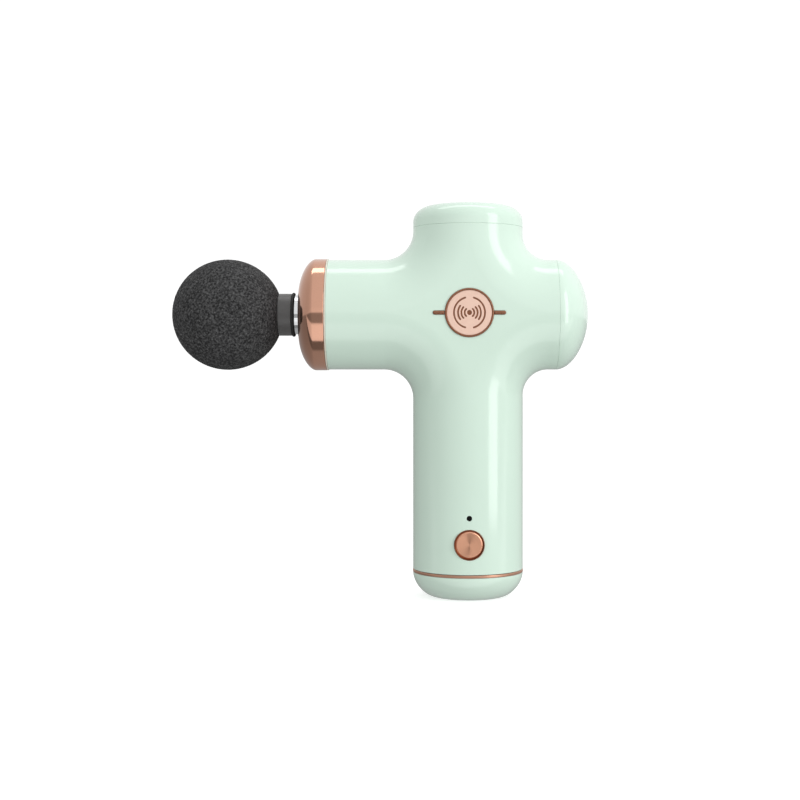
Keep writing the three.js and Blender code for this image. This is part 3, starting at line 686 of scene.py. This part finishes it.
def round_tool(node, radius, front, back, segments=128):
    """A cylinder along Y that cuts the hole for a round node."""
    profile = [(0, front), (radius, front), (radius, back), (0, back)]
    return lathe("tool", profile, "y", middle(node), segments)


def badge_bar_outline(node, growth=0.0, steps=16):
    """A badge bar's outline, square at the rim and round at its far end, as a function of its inset."""
    lo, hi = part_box(node)
    side = 1 if lo.x > 0 else -1
    near, far = sorted((abs(lo.x), abs(hi.x)))
    half_short = half_height(node) + growth
    inner = near - growth
    spine = far + growth - half_short

    def outline(inset):
        radius = half_short - inset
        points = [(side * (inner + inset), -radius)]
        for step in range(steps + 1):
            angle = pi * step / steps - pi / 2
            points.append((side * (spine + radius * cos(angle)), radius * sin(angle)))
        points.append((side * (inner + inset), radius))
        return points

    return outline


def bar_tool(node, growth):
    """A block that cuts the pocket for a badge bar, wider than the bar by growth all round."""
    layers = [(0, OUTSIDE_Y), (0, POCKET_FLOOR_Y)]
    return stack("tool", badge_bar_outline(node, growth), layers, (0, 0, AXIS_Z))


front_shell = half_shell("front_shell_skin", -1)
carve(
    front_shell,
    round_tool("badge_rim", half_height("badge_rim") + 0.1 * MM, OUTSIDE_Y, POCKET_FLOOR_Y),
    bar_tool("badge_bar_left", 0.12 * MM),
    bar_tool("badge_bar_right", 0.12 * MM),
    round_tool("power_button", half_height("button_bezel") + 0.06 * MM, OUTSIDE_Y, INSIDE_Y),
    round_tool("status_window", half_height("status_window") + 0.1 * MM, OUTSIDE_Y, INSIDE_Y, 48),
)
true_normals(front_shell, -1)
dress(front_shell, "housing", "mint_shell", mint)

USB_HALF_LONG = half_width("usb_socket")
USB_HALF_SHORT = half_height("usb_socket")
USB_GAP = 0.35 * MM
back_shell = half_shell("back_shell_skin", 1)
usb_hole = stadium(USB_HALF_LONG + USB_GAP, USB_HALF_SHORT + USB_GAP)
carve(back_shell, stack("tool", usb_hole, [(0, -INSIDE_Y - 2 * MM), (0, -OUTSIDE_Y)], middle("usb_socket")))
true_normals(back_shell, 1)
dress(back_shell, "housing", "mint_shell", mint)

# ---------------------------------------------------------------- caps and trim


def superellipse(flat, radius, from_level, to_level, power, steps):
    """A shoulder from a cap's side to its flat face: an ellipse where power is 2, and flatter below it."""
    points = []
    for step in range(steps + 1):
        angle = pi / 2 * step / steps
        across = cos(angle) ** (2 / power)
        rise = sin(angle) ** (2 / power)
        points.append((flat + (radius - flat) * across, from_level + (to_level - from_level) * rise, 0))
    return points


SPIGOT_REACH = 3.2 * MM  # how far a cap's spigot goes into the shells
CAP_FLOOR = 2.4 * MM  # thickness of a cap's flat wall
CAP_SEAM = 0.03 * MM  # a cap's edge stands this far off the shells
TOP_FLAT_R = 14.4 * MM
TOP_SHOULDER = 6.5 * MM
BASE_FLAT_R = 14 * MM
BASE_HOLLOW_R = 13 * MM
BASE_SHOULDER = 9.5 * MM
DOME_LENGTH = 12.9 * MM
# How full the shoulders are: an ellipse at 2, and more of a slanted flat below it.
TOP_FULLNESS = 2
BASE_FULLNESS = 1.7
DOME_FULLNESS = 1.85
NOSE_FULLNESS = 1.7

top_seam = SHELL_TOP_Z + CAP_SEAM
top_z = high("top_cap").z
top_floor = top_z - CAP_FLOOR
top_profile = [
    (0, top_floor, 0),
    (SPIGOT_IN_R - 2.5 * MM, top_floor, 2 * MM),
    (SPIGOT_IN_R, top_floor - 4 * MM, 2 * MM),
    (SPIGOT_IN_R, top_seam - SPIGOT_REACH, 0.3 * MM),
    (SPIGOT_R, top_seam - SPIGOT_REACH, 0.3 * MM),
    (SPIGOT_R, top_seam, 0.2 * MM),
    (BODY_R, top_seam, EDGE),
]
top_profile += superellipse(TOP_FLAT_R, BODY_R, top_z - TOP_SHOULDER, top_z, TOP_FULLNESS, 24)
top_profile.append((0, top_z, 0))
top_cap = lathe("top_cap_skin", rounded(top_profile), "z", (0, 0, 0), 192)
dress(top_cap, "housing", "mint_shell", mint)

trim_low, trim_high = low("base_trim_ring").z, high("base_trim_ring").z
base_seam = trim_low - 0.06 * MM
base_profile = [
    (0, CAP_FLOOR, 0),
    (BASE_HOLLOW_R, CAP_FLOOR, 2 * MM),
    (SPIGOT_IN_R, BASE_SHOULDER, 2 * MM),
    (SPIGOT_IN_R, trim_high + SPIGOT_REACH, 0.3 * MM),
    (SPIGOT_R, trim_high + SPIGOT_REACH, 0.3 * MM),
    (SPIGOT_R, base_seam, 0.1 * MM),
    (BODY_R, base_seam, EDGE),
]
base_profile += superellipse(BASE_FLAT_R, BODY_R, BASE_SHOULDER, 0.0, BASE_FULLNESS, 28)
base_profile.append((0, 0, 0))
base_cap = lathe("base_cap_skin", rounded(base_profile), "z", (0, 0, 0), 192)
dress(base_cap, "housing", "mint_shell", mint)

trim_r = half_width("base_trim_ring")
trim_in_r = SPIGOT_R + 0.3 * MM
trim_profile = [
    (trim_in_r, trim_low, 0.05 * MM),
    (trim_r, trim_low, 0.3 * MM),
    (trim_r, trim_high, 0.3 * MM),
    (trim_in_r, trim_high, 0.05 * MM),
]
trim = lathe("base_trim_ring_skin", rounded(trim_profile, True), "z", (0, 0, 0), 192, True)
dress(trim, "housing", "rose_gold", trim_gold)

apex_x = high("rear_cap").x
rear_seam = REAR_END_X + CAP_SEAM
rear_profile = [
    (0, apex_x - 2 * CAP_FLOOR, 0),
    (SPIGOT_IN_R, rear_seam, 1 * MM),
    (SPIGOT_IN_R, rear_seam - SPIGOT_REACH, 0.3 * MM),
    (SPIGOT_R, rear_seam - SPIGOT_REACH, 0.3 * MM),
    (SPIGOT_R, rear_seam, 0.2 * MM),
    (BODY_R, rear_seam, EDGE),
]
rear_profile += superellipse(0, BODY_R, apex_x - DOME_LENGTH, apex_x, DOME_FULLNESS, 56)
rear_cap = lathe("rear_cap_skin", rounded(rear_profile), "x", (0, 0, AXIS_Z), 192)
dress(rear_cap, "housing", "mint_shell", mint)

# ---------------------------------------------------------------- the barrel's end

nose_lo, nose_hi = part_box("nose_ring")
nose_r = half_height("nose_ring")
opening_r = 10.5 * MM
nose_in_r = nose_r - 2 * MM
nose_in_x = nose_lo.x + CAP_FLOOR
nose_shoulder = 6.8 * MM
hollow_slope_long, hollow_slope_wide = 3.2 * MM, 5 * MM
nose_front = superellipse(opening_r, nose_r, nose_lo.x + nose_shoulder, nose_lo.x, NOSE_FULLNESS, 40)
nose_profile = nose_front[::-1]
nose_profile[0] = (opening_r, nose_lo.x, 0.3 * MM)
nose_profile += [
    (nose_r, nose_hi.x, 0.3 * MM),
    (nose_in_r, nose_hi.x, 0.2 * MM),
    (nose_in_r, nose_in_x + hollow_slope_long, 1 * MM),
    (nose_in_r - hollow_slope_wide, nose_in_x, 1 * MM),
    (opening_r, nose_in_x, 0.2 * MM),
]
nose_ring = lathe("nose_ring_skin", rounded(nose_profile, True), "x", (0, 0, AXIS_Z), 192, True)
dress(nose_ring, "housing", "rose_gold", rose_gold)

gasket_lo, gasket_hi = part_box("nose_gasket")
gasket_in_r = SPIGOT_R + 0.2 * MM
gasket_r = half_height("nose_gasket")
gasket_profile = [
    (gasket_in_r, gasket_lo.x - 0.05 * MM, 0.1 * MM),
    (gasket_r, gasket_lo.x - 0.05 * MM, 0.12 * MM),
    (gasket_r, gasket_hi.x + 0.05 * MM, 0.12 * MM),
    (gasket_in_r, gasket_hi.x + 0.05 * MM, 0.1 * MM),
]
nose_gasket = lathe("nose_gasket_skin", rounded(gasket_profile, True), "x", (0, 0, AXIS_Z), 192, True)
dress(nose_gasket, "housing", "bearing_plastic", SLOT_LOOKS["bearing_plastic"])

seal_lo, seal_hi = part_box("nose_seal")
seal_in_r = 8.25 * MM
seal_r = opening_r - 0.2 * MM
groove_r = 9.2 * MM
seal_profile = [
    (seal_in_r, seal_lo.x, 0.25 * MM),
    (groove_r, seal_lo.x + 0.35 * MM, 0.4 * MM),
    (seal_r, seal_lo.x, 0.25 * MM),
    (seal_r, seal_hi.x, 0.2 * MM),
    (seal_in_r, seal_hi.x, 0.2 * MM),
]
nose_seal = lathe("nose_seal_skin", rounded(seal_profile, True), "x", (0, 0, AXIS_Z), 96, True)
dress(nose_seal, "housing", "black_rubber", black_rubber)

# ---------------------------------------------------------------- badge

DOT_R = 0.65 * MM
PULSE_ARCS = [(1.9 * MM, radians(48)), (3.2 * MM, radians(42)), (4.5 * MM, radians(36))]
RING_R = 6.1 * MM
RING_GAP = radians(16)
LINE_HALF = 0.27 * MM
LINE_FADE = 0.12 * MM
LINE_DEPTH = 0.16 * MM


def vibration_motif(x, z):
    """Distance to the nearest line of a plain motif: a dot, paired arcs that spread from it, an open ring."""
    radius = hypot(x, z)
    angle = abs(atan2(z, abs(x)))
    nearest = abs(radius - DOT_R) if radius > DOT_R else 0.0
    for arc_r, half_angle in PULSE_ARCS:
        if angle <= half_angle:
            gap = abs(radius - arc_r)
        else:
            gap = hypot(abs(x) - arc_r * cos(half_angle), abs(z) - arc_r * sin(half_angle))
        nearest = min(nearest, gap)
    from_side = abs(atan2(abs(x), abs(z)))
    if from_side >= RING_GAP:
        ring_gap = abs(radius - RING_R)
    else:
        ring_gap = hypot(abs(x) - RING_R * sin(RING_GAP), abs(z) - RING_R * cos(RING_GAP))
    return min(nearest, ring_gap)


def engraved_disc(name, node, rings=96, segments=448):
    """A disc that faces -Y, with the motif sunk into its face and marked by the groove attribute."""
    lo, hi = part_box(node)
    radius = half_height(node)
    edge = 0.2 * MM
    verts = [(0.0, lo.y + LINE_DEPTH, AXIS_Z)]
    depths = [1.0]
    for ring in range(1, rings + 1):
        r = (radius - edge) * ring / rings
        for i in range(segments):
            x, z = r * cos(2 * pi * i / segments), r * sin(2 * pi * i / segments)
            fade = (vibration_motif(x, z) - LINE_HALF) / LINE_FADE
            groove = 1 - min(1.0, max(0.0, fade))
            verts.append((x, lo.y + LINE_DEPTH * groove, AXIS_Z + z))
            depths.append(groove)
    rim = [(radius - 0.3 * edge, lo.y + 0.3 * edge), (radius, lo.y + edge), (radius, hi.y)]
    for r, y in rim:
        for i in range(segments):
            verts.append((r * cos(2 * pi * i / segments), y, AXIS_Z + r * sin(2 * pi * i / segments)))
            depths.append(0.0)
    total = rings + len(rim)
    faces = [(0, 1 + (i + 1) % segments, 1 + i) for i in range(segments)]
    for ring in range(total - 1):
        a, b = 1 + ring * segments, 1 + (ring + 1) * segments
        for i in range(segments):
            j = (i + 1) % segments
            faces.append((a + i, a + j, b + j, b + i))
    faces.append([1 + (total - 1) * segments + i for i in range(segments)])
    piece = mesh_piece(name, verts, faces)
    attribute = piece.data.attributes.new("groove", "FLOAT", "POINT")
    attribute.data.foreach_set("value", depths)
    return finish_mesh(piece, 0.0001 * MM)


badge_plate = engraved_disc("badge_plate_skin", "badge_plate")
dress(badge_plate, "housing", "pink_gold", badge_gold)

rim_lo, rim_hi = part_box("badge_rim")
rim_r = half_height("badge_rim")
rim_in_r = half_height("badge_plate") + 0.05 * MM
rim_profile = [
    (rim_in_r, rim_lo.y, 0.2 * MM),
    (rim_r, rim_lo.y, 0.28 * MM),
    (rim_r, rim_hi.y, 0.05 * MM),
    (rim_in_r, rim_hi.y, 0.05 * MM),
]
badge_rim = lathe("badge_rim_skin", rounded(rim_profile, True), "y", (0, 0, AXIS_Z), 160, True)
dress(badge_rim, "housing", "dark_copper", dark_copper)

BAR_CROWN = 0.22 * MM
for node in ("badge_bar_left", "badge_bar_right"):
    lo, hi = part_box(node)
    bar_layers = [
        (BAR_CROWN, lo.y),
        (0.55 * BAR_CROWN, lo.y + 0.12 * BAR_CROWN),
        (0.15 * BAR_CROWN, lo.y + 0.5 * BAR_CROWN),
        (0, lo.y + BAR_CROWN),
        (0, hi.y),
    ]
    bar = stack(node + "_skin", badge_bar_outline(node), bar_layers, (0, 0, AXIS_Z))
    dress(bar, "housing", "dark_copper", dark_copper)

# ---------------------------------------------------------------- button, bezel and light

bezel_lo, bezel_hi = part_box("button_bezel")
bezel_r = half_height("button_bezel")
button_lo, button_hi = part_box("power_button")
button_r = bezel_r - 0.4 * MM
flange_r = half_height("power_button")
flange_front_y = -18.2 * MM
flange_back_y = -17.2 * MM
button_stem_r = 1.6 * MM
DISH_DEPTH = 0.22 * MM
DISH_SHARE = 0.86  # the dish's radius, as a share of the button's
button_profile = [(0, button_lo.y + DISH_DEPTH, 0)]
for share in (0.2, 0.4, 0.6, 0.75):
    sunk = DISH_DEPTH * (1 - (share / DISH_SHARE) ** 2)
    button_profile.append((button_r * share, button_lo.y + sunk, 0))
button_profile += [
    (button_r * DISH_SHARE, button_lo.y, 0.25 * MM),
    (button_r, button_lo.y + 0.5 * MM, 0.3 * MM),
    (button_r, flange_front_y, 0.2 * MM),
    (flange_r, flange_front_y, 0.2 * MM),
    (flange_r, flange_back_y, 0.2 * MM),
    (button_stem_r, flange_back_y, 0.2 * MM),
    (button_stem_r, button_hi.y, 0.2 * MM),
    (0, button_hi.y, 0),
]
power_button = lathe("power_button_skin", rounded(button_profile), "y", middle("power_button"), 160)
dress(power_button, "button", "rose_gold", button_gold)

bezel_in_r = button_r + 0.1 * MM
bezel_profile = [
    (bezel_in_r, bezel_lo.y, 0.1 * MM),
    (bezel_r, bezel_lo.y, 0.14 * MM),
    (bezel_r, bezel_hi.y, 0.05 * MM),
    (bezel_in_r, bezel_hi.y, 0.05 * MM),
]
bezel_centre = middle("button_bezel")
button_bezel = lathe("button_bezel_skin", rounded(bezel_profile, True), "y", bezel_centre, 160, True)
dress(button_bezel, "housing", "dark_copper", dark_copper)

window_lo, window_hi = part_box("status_window")
window_r = half_height("status_window") + 0.05 * MM
window_profile = [
    (0, window_lo.y - 0.02 * MM, 0),
    (window_r, window_lo.y + 0.05 * MM, 0.25 * MM),
    (window_r, window_hi.y, 0.1 * MM),
    (0, window_hi.y, 0),
]
status_window = lathe("status_window_skin", rounded(window_profile), "y", middle("status_window"), 64)
dress(status_window, "housing", "dark_window", window)

# ---------------------------------------------------------------- charging socket

usb_lo, usb_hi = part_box("usb_socket")
USB_WALL = 0.3 * MM
usb_outline = stadium(USB_HALF_LONG, USB_HALF_SHORT)
usb_layers = [
    (0.15 * MM, usb_lo.y),
    (0.0, usb_lo.y + 0.15 * MM),
    (0.0, usb_hi.y - 0.1 * MM),
    (0.1 * MM, usb_hi.y),
    (USB_WALL, usb_hi.y),
    (USB_WALL, usb_lo.y + 1 * MM),
]
usb_socket = stack("usb_socket_skin", usb_outline, usb_layers, middle("usb_socket"))
dress(usb_socket, "housing", "steel", usb_steel)

tongue_outline = stadium(USB_HALF_LONG - 1.2 * MM, 0.38 * MM)
tongue_layers = [(0, usb_lo.y + 1.02 * MM), (0, usb_hi.y - 1.4 * MM), (0.15 * MM, usb_hi.y - 1.2 * MM)]
usb_tongue = stack("usb_tongue", tongue_outline, tongue_layers, middle("usb_socket"))
usb_tongue.data.materials.append(SLOT_LOOKS["black_plastic"])
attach(usb_tongue, "housing")

# ---------------------------------------------------------------- the head

ball_lo, ball_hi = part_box("head_ball")
ball_r = half_height("head_ball")
ball_x = ball_lo.x + ball_r
bore_r = 5.8 * MM
CORE_SHORTFALL = 4 * MM  # the stem's core ends this far short of the ball's centre
CORE_GAP = 0.3 * MM
bore_end_x = ball_x + CORE_SHORTFALL - CORE_GAP
GRAIN_SIZE = 0.75 * MM
GRAIN_HEIGHT = 0.07 * MM


def foam_ball(name):
    """The ball, flat where it meets the collar and bored for the stem, with a skin of fine foam grain."""
    flat_r = sqrt(ball_r**2 - (ball_hi.x - ball_x) ** 2)
    start = atan2(ball_hi.x - ball_x, flat_r) * 180 / pi
    profile = [
        (0, bore_end_x, 0),
        (bore_r, bore_end_x, 0.4 * MM),
        (bore_r, ball_hi.x, 0.3 * MM),
        (flat_r, ball_hi.x, 0.5 * MM),
    ]
    profile += arc(ball_x, ball_r, start - 1.5, -90, 240)
    piece = lathe(name, rounded(profile), "x", (0, 0, AXIS_Z), 400)
    centre = Vector((ball_x, 0, AXIS_Z))
    for vertex in piece.data.vertices:
        offset = vertex.co - centre
        if offset.length > ball_r - 0.01 * MM:
            grain = noise.noise(vertex.co / GRAIN_SIZE) + 0.6 * noise.noise(vertex.co / (GRAIN_SIZE * 0.5))
            vertex.co += offset.normalized() * (grain * GRAIN_HEIGHT - GRAIN_HEIGHT)
    return piece


head_ball = foam_ball("head_ball_skin")
dress(head_ball, "massage_head", "foam", foam_look)
head_ball.visible_glossy = False  # the nose ring mirrors the studio, not the black ball

stem_lo, stem_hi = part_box("head_stem")
collar_r = half_height("head_stem")
collar_front = ball_hi.x + 0.05 * MM
washer_lo, washer_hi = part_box("head_washer")
washer_r = half_height("head_washer")
collar_rear = washer_lo.x - 0.04 * MM
stem_r = 4.0 * MM
core_r = bore_r - CORE_GAP
stem_profile = [
    (0, stem_lo.x, 0),
    (core_r, stem_lo.x, 0.6 * MM),
    (core_r, collar_front, 0.2 * MM),
    (collar_r, collar_front, 0.35 * MM),
    (collar_r, collar_rear, 0.35 * MM),
    (stem_r, collar_rear, 0.2 * MM),
    (stem_r, stem_hi.x, 0.8 * MM),
    (0, stem_hi.x, 0),
]
head_stem = lathe("head_stem_skin", rounded(stem_profile), "x", (0, 0, AXIS_Z), 128)
dress(head_stem, "massage_head", "grey_plastic", grey)

washer_profile = [
    (stem_r + 0.15 * MM, washer_lo.x, 0.15 * MM),
    (washer_r, washer_lo.x, 0.4 * MM),
    (washer_r, washer_hi.x, 0.4 * MM),
    (stem_r + 0.15 * MM, washer_hi.x, 0.15 * MM),
]
head_washer = lathe("head_washer_skin", rounded(washer_profile, True), "x", (0, 0, AXIS_Z), 128, True)
dress(head_washer, "massage_head", "black_rubber", black_rubber)

# ---------------------------------------------------------------- floor, light and camera

FLOOR_HALF = 6.0
floor_look = Look("pale_floor")
floor_look.colour(floor_look.mix(floor_look.noise(4, 3), (0.59, 0.59, 0.59), (0.61, 0.61, 0.61)))
floor_look.set(Roughness=0.7, Emission_Color=(1, 1, 1, 1), Emission_Strength=0.62)
floor = mesh_piece("floor", [(-1, -1, 0), (1, -1, 0), (1, 1, 0), (-1, 1, 0)], [(0, 1, 2, 3)])
floor.scale = (FLOOR_HALF, FLOOR_HALF, 1)
floor.data.materials.append(floor_look.material)
floor.visible_diffuse = False
floor.visible_glossy = False


def softbox(name, place, target, width, height, radiance):
    """A rectangular light whose face has the given radiance."""
    data = bpy.data.lights.new(name, "AREA")
    data.shape = "RECTANGLE"
    data.size = width
    data.size_y = height
    data.energy = radiance * pi * width * height
    light = bpy.data.objects.new(name, data)
    light.location = place
    light.rotation_euler = (Vector(target) - Vector(place)).to_track_quat("-Z", "Y").to_euler()
    light.visible_camera = False
    bpy.context.scene.collection.objects.link(light)
    return light


KEY_ANGLE = radians(51.5)
KEY_DISTANCE = 0.5
KEY_Z = 0.24
key_place = (KEY_DISTANCE * sin(KEY_ANGLE), -KEY_DISTANCE * cos(KEY_ANGLE), KEY_Z)
softbox("key_strip", key_place, (0, 0, KEY_Z), width=0.17, height=0.52, radiance=3.2)
softbox("overhead", (-0.02, 0.12, 0.75), (-0.02, 0.0, 0.1), width=0.7, height=0.16, radiance=2.3)
fill = softbox("low_fill", (-0.45, -0.35, 0.04), (0, 0, 0.1), width=0.5, height=0.3, radiance=0.9)
fill.visible_glossy = False

# The studio around the gun, as brightness by direction: bright cards and dark gaps for the metal to mirror.
# Degrees run in the plane across the barrel, from the front (0) over the top (90) to the back (180).
ROUND_BARREL = [
    (-180, 0.40), (-131, 0.42), (-84, 0.42), (-80, 0.30), (-78, 0.20), (-59, 0.20),
    (-56, 1.18), (-48, 1.22), (-24, 1.20), (-20, 1.0), (-19, 0.36), (2, 0.36),
    (3, 1.05), (14, 0.94), (80, 0.92), (140, 0.95), (180, 0.9),
]
SIDEWAYS = [(-1, 0.60), (-0.5, 0.74), (-0.12, 0.92), (0.1, 1.0), (1, 1.0)]
BRIGHTEST = 1.3
WORLD_STRENGTH = 1.045
BACKDROP_STRENGTH = 1.1

world = bpy.data.worlds.new("studio")
world.use_nodes = True
bpy.context.scene.world = world
tree = world.node_tree
background = tree.nodes["Background"]


def world_node(kind, **settings):
    made = tree.nodes.new(kind)
    for key, value in settings.items():
        setattr(made, key, value)
    return made


def world_ramp(value, lowest, highest, stops):
    """A grey ramp over a value, given as (value, brightness) stops."""
    spread = world_node("ShaderNodeMapRange")
    spread.inputs["From Min"].default_value = lowest
    spread.inputs["From Max"].default_value = highest
    tree.links.new(value, spread.inputs["Value"])
    ramp = world_node("ShaderNodeValToRGB")
    elements = ramp.color_ramp.elements
    while len(elements) < len(stops):
        elements.new(0.5)
    for element, (place, brightness) in zip(elements, stops):
        element.position = (place - lowest) / (highest - lowest)
        element.color = (brightness, brightness, brightness, 1)
    tree.links.new(spread.outputs["Result"], ramp.inputs["Fac"])
    return ramp.outputs["Color"]


def build_world():
    """Lights the gun with the studio, and shows the camera a plain white backdrop instead."""
    direction = world_node("ShaderNodeTexCoord").outputs["Generated"]
    split = world_node("ShaderNodeSeparateXYZ")
    tree.links.new(direction, split.inputs[0])
    frontwards = world_node("ShaderNodeMath", operation="MULTIPLY")
    tree.links.new(split.outputs["Y"], frontwards.inputs[0])
    frontwards.inputs[1].default_value = -1.0
    angle = world_node("ShaderNodeMath", operation="ARCTAN2")
    tree.links.new(split.outputs["Z"], angle.inputs[0])
    tree.links.new(frontwards.outputs[0], angle.inputs[1])
    bands = [(radians(place), brightness / BRIGHTEST) for place, brightness in ROUND_BARREL]
    around = world_ramp(angle.outputs[0], -pi, pi, bands)
    across = world_ramp(split.outputs["X"], -1, 1, SIDEWAYS)
    product = world_node("ShaderNodeMix", data_type="RGBA", blend_type="MULTIPLY")
    product.inputs["Factor"].default_value = 1.0
    tree.links.new(around, product.inputs[6])
    tree.links.new(across, product.inputs[7])
    tree.links.new(product.outputs[2], background.inputs["Color"])
    background.inputs["Strength"].default_value = BRIGHTEST * WORLD_STRENGTH
    backdrop = world_node("ShaderNodeBackground")
    backdrop.inputs["Color"].default_value = (1, 1, 1, 1)
    backdrop.inputs["Strength"].default_value = BACKDROP_STRENGTH
    seen = world_node("ShaderNodeLightPath")
    choice = world_node("ShaderNodeMixShader")
    tree.links.new(seen.outputs["Is Camera Ray"], choice.inputs[0])
    tree.links.new(background.outputs[0], choice.inputs[1])
    tree.links.new(backdrop.outputs[0], choice.inputs[2])
    tree.links.new(choice.outputs[0], tree.nodes["World Output"].inputs["Surface"])


build_world()

CAMERA_X = -15.5 * MM
CAMERA_Z = 92 * MM
CAMERA_DISTANCE = 585 * MM  # from the plane of the handle's axis, where the view is 327.33 mm wide
SENSOR = 36.0
LENS = 64.3383
VIEW_SHIFT = -0.0375  # as a share of the view's width, both sideways and upwards
camera_data = bpy.data.cameras.new("camera")
camera_data.sensor_width = SENSOR
camera_data.lens = LENS
camera_data.shift_x = VIEW_SHIFT
camera_data.shift_y = VIEW_SHIFT
camera_data.clip_start = 0.01
camera = bpy.data.objects.new("camera", camera_data)
camera.location = (CAMERA_X, -CAMERA_DISTANCE, CAMERA_Z)
camera.rotation_euler = (pi / 2, 0, 0)
bpy.context.scene.collection.objects.link(camera)
bpy.context.scene.camera = camera
bpy.context.scene.view_settings.view_transform = "Standard"
